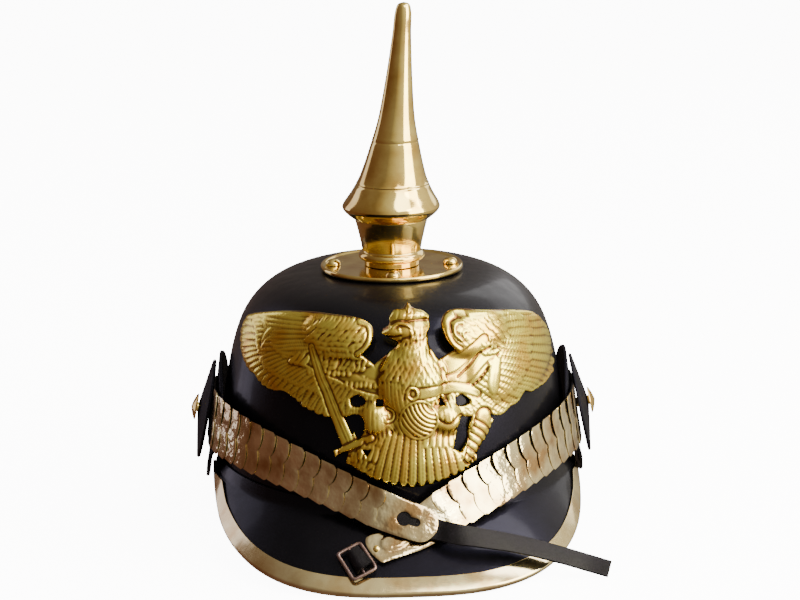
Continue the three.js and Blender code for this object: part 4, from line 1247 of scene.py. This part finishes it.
plate = {"metal": 1.2, "turn": 4.4, "acrossPerRadian": 100, "step": 0.25}
plate.update(low=(-134, 12), high=(118, 111))
plateSections = {
    "rise": [10, 28, 56, 70, 82, 91, 98, 110],
    "halfWidth": [97.5, 96.5, 92.1, 89.5, 86.3, 83.3, 80, 73.4],
    "halfLength": [110, 108.7, 104.4, 101.7, 98.4, 95, 91.6, 84.8],
}


def drawn(start, *stretches):
    # outline of smooth stretches that meet in corners, each from the end of the one before
    points, at = [], start
    for stretch in stretches:
        line = [at, *stretch]
        points += list(softLine(line, 8)[0][:-1]) if len(stretch) > 1 else [np.array(at, float)]
        at = stretch[-1]
    return np.array([*points, np.array(at, float)])


wingLeft = drawn(
    (-12, 70),
    [(-21, 78)],
    [(-29, 83)],
    [(-23, 88), (-22, 95), (-30, 99.5), (-50, 101), (-75, 100), (-100, 96.5), (-125, 89.5), (-129, 82)],
    [(-127, 76), (-118, 70)],
    [(-112, 65), (-101, 64)],
    [(-95, 59.5), (-82, 59)],
    [(-76, 60), (-70, 58)],
    [(-64, 54), (-57, 52.5)],
    [(-50, 50.5), (-40, 51), (-30, 53)],
    [(-12, 50)],
)
wingRight = drawn(
    (12, 70),
    [(18, 79.5)],
    [(28, 83.5)],
    [(22.5, 90), (22, 97), (28, 101.8), (58, 99.5), (97, 92), (106, 86), (111, 80), (112, 72)],
    [(114, 67), (114, 62.5)],
    [(110, 57), (104, 56.5)],
    [(95, 54.5), (86, 54)],
    [(79, 53.5), (73, 55.5)],
    [(67, 51), (61, 50)],
    [(54, 47), (47, 48)],
    [(30, 44), (12, 50)],
)
birdBody = drawn(
    (-12, 101),
    [(-9, 104.2), (-3, 105), (0.5, 107.3), (4, 105.2), (10, 103.7), (14, 101)],
    [(13.5, 96), (11.5, 89), (14, 84), (18, 79)],
    [(22, 66), (30, 50), (32, 37)],
    [(34, 26.5)],
    [(28, 22), (19, 20), (8, 17), (-2, 16.2), (-12, 18), (-20, 20.5), (-29, 25), (-35.5, 28)],
    [(-34, 38), (-30, 48), (-20, 66), (-21, 78)],
    [(-12.5, 84), (-7, 88.5), (-9.5, 90.5), (-16.7, 94.5), (-12, 98), (-12, 101)],
)
sword = drawn((-61, 82.5), [(-56.4, 84.5)], [(-30.3, 38.4)], [(-38, 35.7)])
swordGuard = drawn((-41, 31), [(-42.5, 34)], [(-23, 43.5)], [(-21.5, 40)])
sceptre = drawn((26, 30), [(30, 40), (34, 50)], [(47, 48.5)], [(47.6, 44), (43, 37), (38, 32), (34.5, 26)])
pierced = [
    drawn((-34.4, 61), [(-30, 63), (-25.4, 60), (-29, 57), (-33.5, 57.5), (-34.4, 61)]),
    drawn((-19.4, 61), [(-15.4, 61)], [(-15.4, 58)], [(-19.4, 58)]),
    drawn((-35.6, 52), [(-31, 53), (-25.8, 51), (-26, 45), (-29.4, 40.6), (-33.2, 46.5), (-35.6, 52)]),
    drawn((-26.6, 35.8), [(-21.8, 36)], [(-24, 32.2)]),
    drawn((15.4, 57), [(17.2, 60.5)], [(19.2, 57)]),
    drawn((25.8, 60), [(30, 61), (34.5, 57), (30.7, 55.2), (26, 56.5), (25.8, 60)]),
    drawn(
        (27, 50),
        [(34.6, 49.2)],
        [(32.4, 44), (31.4, 38), (26.5, 32)],
        [(21.5, 34.8)],
        [(24.8, 42), (27, 50)],
    ),
]

# raised forms: middle, half sizes, turn in degrees and height above the sheet
reliefForms = [
    (0, 70, 18, 18, 0, 5),
    (2, 88, 10, 12, 0, 4.5),
    (-2, 96.5, 14, 6, 0, 5),
    (1, 103, 13, 4.5, 0, 4.5),
    (4, 50, 12, 10, 0, 4.4),
    (-20.5, 51, 7.5, 8, 0, 4.1),
    (20, 50, 8, 8, 0, 4.1),
    (0, 30, 32, 16, 0, 3),
    (-44, 91, 26, 11, 5, 4),
    (-85, 80, 44, 20, 8, 2.6),
    (44, 91, 26, 11, -5, 4),
    (76, 77, 42, 22, -10, 2.6),
]

relief = {}
relief["x"], relief["y"] = np.meshgrid(
    np.arange(plate["low"][0], plate["high"][0] + 0.01, plate["step"]),
    np.arange(plate["low"][1], plate["high"][1] + 0.01, plate["step"]),
)


def windowOf(points, margin):
    # part of the plate's grid round some points, and the grid's points in it
    p = np.array(points, float)
    first = np.maximum((p.min(0) - margin - plate["low"]) / plate["step"], 0).astype(int)
    last = np.maximum((p.max(0) + margin - plate["low"]) / plate["step"], 0).astype(int) + 1
    window = (slice(first[1], last[1]), slice(first[0], last[0]))
    return window, relief["x"][window], relief["y"][window]


def awayFrom(line, x, y):
    # distance from a polyline, how far along it the nearest place is, and on which side
    away, along, side = np.full(x.shape, 1e9), np.zeros(x.shape), np.zeros(x.shape)
    steps = np.linalg.norm(np.diff(line, axis=0), axis=1)
    before = np.concatenate([[0], np.cumsum(steps)])
    for a, b, start, step in zip(line, line[1:], before, steps):
        if step < 1e-9:
            continue
        ux, uy = (b - a) / step
        place = np.clip((x - a[0]) * ux + (y - a[1]) * uy, 0, step)
        dx, dy = x - a[0] - ux * place, y - a[1] - uy * place
        near = np.hypot(dx, dy)
        closer = near < away
        away[closer] = near[closer]
        along[closer] = (start + place[closer]) / before[-1]
        side[closer] = np.sign(ux * dy - uy * dx)[closer]
    return away, along, side


def cutAway(outlines, margin=3.0):
    # signed distance to outlines over the grid, negative inside any of them
    whole = np.full(relief["x"].shape, margin)
    for outline in outlines:
        window, x, y = windowOf(outline, margin)
        away, _, _ = awayFrom(np.array([*outline, outline[0]]), x, y)
        flat = np.stack([x.ravel(), y.ravel()], 1)
        inside = insideOf(flat, [outline]).reshape(x.shape)
        whole[window] = np.minimum(whole[window], np.where(inside, -away, away))
    return whole


featherForm = {"rootWidth": 0.6, "fullWidthAt": 0.4, "rootLift": 0.3, "barbSlant": 0.8, "shaftWidth": 0.3}
flameForm = {"narrower": 0.8, "shift": 0.25, "turn": 7, "shortest": 0.85, "longest": 1.15}


def layFeather(
    root, tip, width, lift=0.5, bow=0.0, point=2.0, ridge=0.25, barb=0.0, pitch=1.7, full=0.6, shaft=0.1
):
    # one feather laid over what is there: rounded across, standing up towards its tip
    root, tip = np.array(root, float), np.array(tip, float)
    length = np.linalg.norm(tip - root)
    window, x, y = windowOf([root, tip], width + abs(bow))
    ahead = (tip - root) / length
    s = ((x - root[0]) * ahead[0] + (y - root[1]) * ahead[1]) / length
    aside = (y - root[1]) * ahead[0] - (x - root[0]) * ahead[1] - bow * 4 * s * (1 - s)
    taper = np.clip((s - full) / (1 - full), 0, 1)
    narrow, low = featherForm["rootWidth"], featherForm["rootLift"]
    half = width / 2 * np.clip(1 - taper**point, 0, 1) ** (1 / point)
    half *= narrow + (1 - narrow) * np.clip(s / featherForm["fullWidthAt"], 0, 1)
    u = np.abs(aside) / np.maximum(half, 1e-6)
    inside = (s > 0) & (s < 1) & (u < 1)
    raised = lift * (low + (1 - low) * np.clip(s, 0, 1))
    raised += ridge * width / 4 * np.sqrt(np.clip(1 - u**2, 0, 1))
    along = s * length - np.abs(aside) * featherForm["barbSlant"]
    raised += barb * np.sin(along * 2 * math.pi / pitch) * np.clip(u * 3, 0, 1)
    raised -= shaft * np.exp(-((aside / featherForm["shaftWidth"]) ** 2))
    part = relief["height"][window]
    part[inside] = (relief["base"][window] + raised)[inside]


def evenly(line, count):
    samples, _ = softLine(line, 10)
    far = np.concatenate([[0], np.cumsum(np.linalg.norm(np.diff(samples, axis=0), axis=1))])
    at = np.linspace(0, far[-1], count)
    return np.stack([np.interp(at, far, samples[:, i]) for i in (0, 1)], 1)


def layRow(roots, tips, count, width, jitter=0.3, **look):
    # feathers side by side, from a line of roots to a line of tips
    for root, tip in zip(evenly(roots, count), evenly(tips, count)):
        shift = chance.normal(0, jitter, 4)
        layFeather(root + shift[:2], tip + shift[2:], width, **look)


def layBar(line, half, height, hardness=2.0, over=True, narrows=0.0):
    # bar along a line, from a ridge (hardness 1) through a rod (2) to a flat band; over=False cuts a groove
    samples, _ = softLine(line, 8) if len(line) > 2 else (np.array(line, float), None)
    window, x, y = windowOf(samples, half + 0.5)
    away, along, _ = awayFrom(samples, x, y)
    half = half * (1 - narrows * along)
    u = np.clip(away / half, 0, 1)
    part = relief["height"][window]
    if over:
        inside = away < half
        part[inside] = (relief["base"][window] + height * (1 - u**hardness))[inside]
    else:
        part -= height * (1 - u**2) ** 2


def layFlames(middle, size, rows, count, length, width, flow, **look):
    # small curled feathers staggered over an oval area, the lowest row first; flow is their direction in
    # the middle, and how it changes across and up, in degrees
    for k in range(rows):
        v = -1 + 2 * (k + 0.5) / rows
        reach = math.sqrt(max(1 - (flameForm["narrower"] * v) ** 2, 0.1))
        for i in range(count):
            u = (-1 + 2 * (i + 0.5 + 0.5 * (k % 2)) / count) * reach
            spot = np.array(middle) + np.array(size) * (u, v) + chance.normal(0, flameForm["shift"], 2)
            turn = math.radians(flow[0] + flow[1] * u + flow[2] * v + chance.normal(0, flameForm["turn"]))
            longer = chance.uniform(flameForm["shortest"], flameForm["longest"])
            ahead = np.array([math.cos(turn), math.sin(turn)]) * length * longer
            layFeather(spot - ahead / 2, spot + ahead / 2, width, **look)


chance = np.random.default_rng(11)


def baseForm(x, y):
    base = np.zeros(x.shape)
    for across, up, halfAcross, halfUp, turn, height in reliefForms:
        cos, sin = math.cos(math.radians(turn)), math.sin(math.radians(turn))
        dx, dy = x - across, y - up
        far = ((dx * cos - dy * sin) / halfAcross) ** 2 + ((dx * sin + dy * cos) / halfUp) ** 2
        form = height * np.sqrt(np.clip(1 - far, 0, 1))
        base = np.maximum(base, form) + 0.25 * np.minimum(base, form)
    return base


def softened(values, reach):
    # moving average over the grid, twice
    width = 2 * int(round(reach / plate["step"])) + 1
    for _ in range(2):
        for axis in (0, 1):
            edges = [(width // 2 + 1, width // 2) if a == axis else (0, 0) for a in (0, 1)]
            total = np.cumsum(np.pad(values, edges, mode="edge"), axis=axis)
            count = values.shape[axis]
            ahead = np.take(total, range(width, width + count), axis)
            values = (ahead - np.take(total, range(count), axis)) / width
    return values


def drawWings():
    # on each wing the long feathers first, the shorter ones over them and the curled ones on top
    far = {"lift": 0.7, "ridge": 0.4, "barb": 0.1, "pitch": 1.9, "point": 1.8, "shaft": 0.4}
    covert = {"lift": 0.8, "ridge": 0.42, "barb": 0.12, "pitch": 1.5, "point": 1.6, "shaft": 0.35}
    roots = [(-104, 94), (-99, 88), (-95, 81), (-88, 77), (-78, 75), (-66, 73), (-54, 70), (-42, 67)]
    tips = [(-122, 92), (-130, 84), (-127, 76), (-117, 68.5), (-103, 62.5), (-88, 58), (-72, 57.5)]
    layRow([*roots, (-28, 65), (-14, 62)], [*tips, (-57, 51.5), (-34, 50), (-12, 49)], 31, 7, **far)
    roots = [(-88, 93), (-82, 87), (-75, 82), (-67, 79), (-58, 77), (-48, 74), (-38, 71), (-26, 68)]
    tips = [(-116, 92.5), (-106, 84), (-98, 74), (-87, 68), (-73, 66), (-60, 62.5), (-47, 59), (-32, 57.5)]
    layRow([*roots, (-15, 65)], [*tips, (-16, 56)], 34, 5.4, **covert)
    roots = [(-62, 99), (-60, 94), (-57, 89), (-54, 85), (-49, 81), (-42, 77), (-34, 74), (-26, 72)]
    tips = [(-112, 95), (-102, 91), (-93, 83), (-78, 78), (-63, 75), (-50, 70), (-38, 65.5), (-24, 62)]
    layRow(roots, tips, 24, 4.6, **covert)
    layFeather((-98, 80), (-91, 90), 3.6, lift=1.0, bow=1.0, ridge=0.5)
    layBar([(-60, 79), (-46, 75), (-34, 70.5), (-24, 67.5), (-13, 66.5)], 3.4, 0.45, hardness=6)
    layFlames((-43, 90.5), (21, 8.5), 6, 10, 7.5, 3, (207, 0, 25), lift=0.7, ridge=0.7, bow=0.8, point=1.3)
    layFlames((-40, 79.5), (16, 4.5), 3, 10, 5, 2.4, (235, 0, 0), lift=0.8, ridge=0.7, bow=0.5, point=1.3)
    layFlames((-47, 73.5), (13, 1.6), 1, 9, 3.4, 2.4, (240, 0, 0), lift=1.2, ridge=0.6)
    layFlames((-27, 68), (11, 1.6), 1, 8, 3.2, 2.2, (255, 0, 0), lift=1.2, ridge=0.6)
    layRow([(-60, 81), (-66, 82)], [(-66, 76), (-73, 76)], 3, 3.4, lift=1.2, ridge=0.8, bow=0.8)
    layBar([(-31, 99.4), (-25.4, 97.6), (-23.6, 92.5), (-26, 87), (-30.5, 83.6)], 1.9, 1.5)

    far = {"lift": 0.7, "ridge": 0.3, "barb": 0.08, "pitch": 2.4, "point": 2.0, "bow": -1.2, "shaft": 0.3}
    covert = {**far, "ridge": 0.34, "point": 1.8, "bow": -0.8, "shaft": 0.25}
    roots = [(64, 99), (68, 93), (69, 86), (67, 79), (63, 73), (58, 68), (51, 64), (44, 61), (36, 58)]
    tips = [(98, 93), (109, 86), (113, 78), (115.5, 68), (113, 60), (102, 54.5), (88, 52), (74, 52.5)]
    layRow([*roots, (24, 57)], [*tips, (60, 47.5), (40, 44)], 22, 8.6, **far)
    roots = [(40, 99), (44, 94), (47, 88), (49, 82), (48, 76), (46, 70), (40, 66), (32, 63), (22, 62)]
    tips = [(76, 98), (86, 91), (89, 83), (84, 75), (77, 67), (66, 60), (55, 54), (44, 51), (30, 50)]
    layRow(roots, tips, 20, 7, **covert)
    layFlames((45, 91), (20, 8), 5, 7, 8.5, 4, (-20, 0, 20), lift=0.6, ridge=0.6, bow=-0.7, point=1.4)
    layBar([(14, 75), (27, 77), (36, 81.5), (46, 87)], 4.6, 0.4, hardness=6, narrows=0.3)
    layBar([(16, 66.5), (28, 68), (36, 72.5), (46, 78.5), (53, 80)], 4.6, 0.5, hardness=6, narrows=0.3)
    layFlames((50, 82.5), (6, 3), 2, 4, 6, 3, (-30, 0, 0), lift=0.8, ridge=0.6, bow=-0.5, point=1.4)
    layBar([(28, 70), (36, 75), (43, 80.4), (50, 83)], 0.9, 1.2, over=False)
    layBar([(33, 62.5), (41, 67), (47, 72), (52, 75)], 0.9, 1.2, over=False)
    layFeather((55, 77), (48.5, 58.8), 8.5, lift=0.7, ridge=0.4, bow=-1.5, point=2.4)
    layBar([(30, 100.5), (25, 98), (23.8, 92.5), (26, 87), (30, 84)], 2.0, 1.2)
    layBar([(35, 97), (29.5, 96.5), (28, 92), (31.5, 88.5)], 1.4, 1.5)
    layBar([(36, 93), (33, 92.5), (33, 90)], 0.9, 1.4)


# oval on the chest; its hatching runs in arcs round a centre of its own
chestOval = {"middle": (3.5, 51), "half": (10, 9.6), "lift": 0.6}
hatching = {"centre": (13, 61), "pitch": 2.2, "depth": 0.35}


def layOval():
    # hatched oval within a raised rim
    (across, up), (halfAcross, halfUp) = chestOval["middle"], chestOval["half"]
    turn = np.linspace(0, 2 * math.pi, 40)
    rim = np.stack([across + halfAcross * np.cos(turn), up + halfUp * np.sin(turn)], 1)
    window, x, y = windowOf(rim, 1)
    within = ((x - across) / halfAcross) ** 2 + ((y - up) / halfUp) ** 2 < 1
    away = np.hypot(x - hatching["centre"][0], y - hatching["centre"][1])
    hatch = hatching["depth"] * np.sin(away * 2 * math.pi / hatching["pitch"])
    part = relief["height"][window]
    part[within] = (relief["base"][window] + chestOval["lift"] + hatch)[within]
    layBar(rim, 0.8, 1.2)


def drawBody():
    tail = {"lift": 0.7, "ridge": 0.8, "barb": 0.06, "pitch": 2.2, "point": 1.4, "full": 0.8, "shaft": 0.3}
    roots = [(-25, 43), (-12, 45), (0, 46), (12, 45), (27, 43)]
    layRow(roots, [(-37, 26), (-22, 18.5), (-2, 14.5), (18, 17.5), (36, 24)], 17, 5.2, **tail)
    roots = [(-30, 60), (-20, 61), (-13, 60)]
    layRow(roots, [(-30, 44), (-22, 41.5), (-12, 42)], 8, 3.4, lift=0.9, ridge=0.7, point=1.4)
    layRow([(11, 60), (26, 57)], [(11, 49), (28, 47)], 8, 2.6, lift=1.3, ridge=0.6, point=3)
    layBar([(12, 49), (16, 46.3), (21, 45.8), (26.5, 49)], 3.2, 1.0)
    layRow([(8, 47), (22, 44)], [(7, 37), (20, 36)], 5, 4, lift=0.9, ridge=0.7)
    layFlames((1, 73), (18.5, 13.5), 9, 11, 8.5, 2.9, (-90, 38, 0), lift=0.8, ridge=1.0, bow=0.7, point=1.2)
    flank = {"lift": 0.9, "ridge": 0.9, "bow": -2.4, "point": 1.4, "full": 0.8}
    layRow([(-17, 72), (-6, 71)], [(-10, 45), (2, 42)], 6, 3.0, **flank)
    layFlames((3.5, 89), (9, 7), 6, 7, 5.8, 2.3, (-112, 26, 0), lift=0.8, ridge=1.0, bow=-0.5, point=1.2)
    layOval()
    layBar([(2, 64.4), (14, 64.8), (24, 65), (33, 63), (39, 60.5)], 3.4, 0.7, hardness=6, narrows=0.25)
    layBar([(-3, 65.5), (-0.8, 67.8), (2.2, 67), (3, 63.6), (0.2, 61.8), (-2, 63)], 1.0, 1.7)
    layBar([(-13.5, 57), (-10, 55), (-10.5, 51), (-13.5, 50), (-14.5, 52.5)], 1.1, 1.5)


def drawHead():
    layBar([(-9, 94.6), (-2, 95.8), (6, 96.5), (12, 97.5)], 4.2, 1.1)
    layFlames((6, 95), (6.5, 3.4), 3, 6, 5, 1.8, (-125, 0, 0), lift=1.4, ridge=1.0, point=1.3)
    layFeather((-5, 95.6), (-17.4, 93.2), 6.4, lift=2.0, ridge=0.6, bow=1.1, point=1.5, full=0.35, shaft=0)
    layFeather((-5, 92.6), (-13, 90.4), 3.4, lift=1.5, ridge=0.6, bow=0.3, point=1.6, shaft=0)
    layBar([(-15, 92.7), (-10, 92.3), (-5, 93.4)], 0.6, 1.2, over=False)
    layBar([(-10.4, 96.8), (-6.5, 98.9), (-2, 98.6), (1, 97)], 0.8, 2.2)
    layBar([(-6.6, 96.4), (-5.8, 96.5)], 0.9, 2.2)
    layBar([(-12, 100), (-4, 100.2), (6, 100.2), (13.6, 99.6)], 0.7, 1.6, over=False)
    layBar([(-11.8, 101.9), (-5, 102.7), (2, 103), (8, 102.6), (13.4, 101.4)], 2.8, 1.4)
    for across in (-6, -1.5, 3, 7.5):
        layBar([(across + 0.6, 105.5), (across, 103.4), (across - 0.9, 101.2)], 0.6, 0.5, over=False)
    layBar([(0, 105), (0.9, 106.2)], 1.5, 2.2)


def drawArms():
    layBar([(-34, 35.5), (-59, 85)], 4.3, 0.8, hardness=5, narrows=0.42)
    layBar([(-33.4, 37), (-58.2, 84.5)], 0.8, 1.05)
    layFlames((-28, 28.5), (6, 4.5), 3, 4, 6.5, 2.8, (-120, 0, 30), lift=1.2, ridge=0.9, point=1.4)
    layBar([(-42.2, 32.4), (-22, 41.8)], 2.4, 2.2)
    layBar([(-41.6, 31.6), (-41.6, 33.8)], 2.2, 2.5)
    layRow([(-25, 40), (-18, 38)], [(-28, 31), (-20, 30)], 4, 2.6, lift=1.6, ridge=0.9)
    layBar([(42, 47.5), (38.5, 41), (34.5, 35), (30.5, 28)], 5.6, 0.9, hardness=4, narrows=0.45)
    for k in range(7):
        start = np.array([36.5 - 1.6 * k, 47.5 - 3.2 * k])
        layBar([start, start + (7 - 0.4 * k, -4.5), start + (9.5 - 0.6 * k, -7.5)], 0.7, 0.7, over=False)


stamping = {"formsSoft": 1.2, "metalSoft": 0.25, "recessReach": 1.1, "rollWidth": 1.1, "rollDepth": 0.5}
eagleMesh = {"spacing": 0.56, "nearEdge": 0.62, "apart": 0.45, "leastSlope": 0.3, "overEdge": 0.02}
underForm = 0.7  # how much of the raised forms the plate's back follows


def makeRelief():
    relief["base"] = softened(baseForm(relief["x"], relief["y"]), stamping["formsSoft"])
    relief["height"] = relief["base"].copy()
    drawWings()
    drawBody()
    drawHead()
    drawArms()
    outline = cutAway([wingLeft, wingRight, birdBody, sword, swordGuard, sceptre])
    relief["cut"] = np.maximum(outline, -cutAway(pierced))
    rolled = np.clip(1 + relief["cut"] / stamping["rollWidth"], 0, 1)  # the stamped edge turns down a little
    relief["height"] = softened(relief["height"], stamping["metalSoft"]) - stamping["rollDepth"] * rolled**2
    relief["recess"] = softened(relief["height"], stamping["recessReach"]) - relief["height"]


def sampled(values, points):
    # a grid's values between its points
    place = (points - plate["low"]) / plate["step"]
    last = np.array(values.shape)[::-1] - 1.001
    place = np.clip(place, 0, last)
    i, j = place.astype(int).T
    u, v = (place - place.astype(int)).T
    low = values[j, i] * (1 - u) + values[j, i + 1] * u
    high = values[j + 1, i] * (1 - u) + values[j + 1, i + 1] * u
    return low * (1 - v) + high * v


def scattered(spacing):
    # even points inside the plate's outline, and points along it
    step = np.array([spacing, spacing * rowShare])
    margin = spacing * eagleMesh["nearEdge"]
    counts = np.ceil((np.array(plate["high"]) - plate["low"]) / step).astype(int)
    i, j = np.meshgrid(np.arange(counts[0]), np.arange(counts[1]))
    grid = np.stack([(i + j % 2 / 2).ravel(), j.ravel()], 1) * step + plate["low"]
    away = sampled(relief["cut"], grid)
    slopes = [sampled(g, grid) for g in np.gradient(relief["cut"], plate["step"])[::-1]]
    near = np.abs(away) < margin
    slope = np.stack(slopes, 1)[near]
    slope /= np.maximum(np.linalg.norm(slope, axis=1), eagleMesh["leastSlope"])[:, None]
    edge = grid[near] - slope * away[near][:, None]
    _, first = np.unique(np.round(edge / (spacing * eagleMesh["apart"])), axis=0, return_index=True)
    return np.concatenate([edge[first], grid[away < -margin]])


def wrapped(flat, out):
    # flat drawing bent round the helmet, with a distance off the plain sheet for each point
    rise = flat[:, 1]
    halfWidth = np.interp(rise, plateSections["rise"], plateSections["halfWidth"]) + out
    halfLength = np.interp(rise, plateSections["rise"], plateSections["halfLength"]) + out
    turn = flat[:, 0] / plate["acrossPerRadian"] + math.radians(plate["turn"])
    return np.stack([halfWidth * np.sin(turn), -halfLength * np.cos(turn), rimHeight + rise], 1)


def makeEagle():
    makeRelief()
    points = [Vector(p) for p in scattered(eagleMesh["spacing"])]
    flat, triangles = meshOf(points, [], 1e-4, lambda p: sampled(relief["cut"], p) < eagleMesh["overEdge"])
    upper = wrapped(flat, sampled(relief["height"], flat))
    lower = wrapped(flat, sampled(relief["base"], flat) * underForm - plate["metal"])
    surface = thickSheet(triangles, upper, lower)
    values = {"recess": np.concatenate([sampled(relief["recess"], flat), np.zeros(len(flat))])}
    makePiece("eagle_plate_stamped", surface, stampedBrass, ["eagle_plate"], values=values, sharp=70)
    print("eagle plate", len(surface[1]), "faces")


makeEagle()
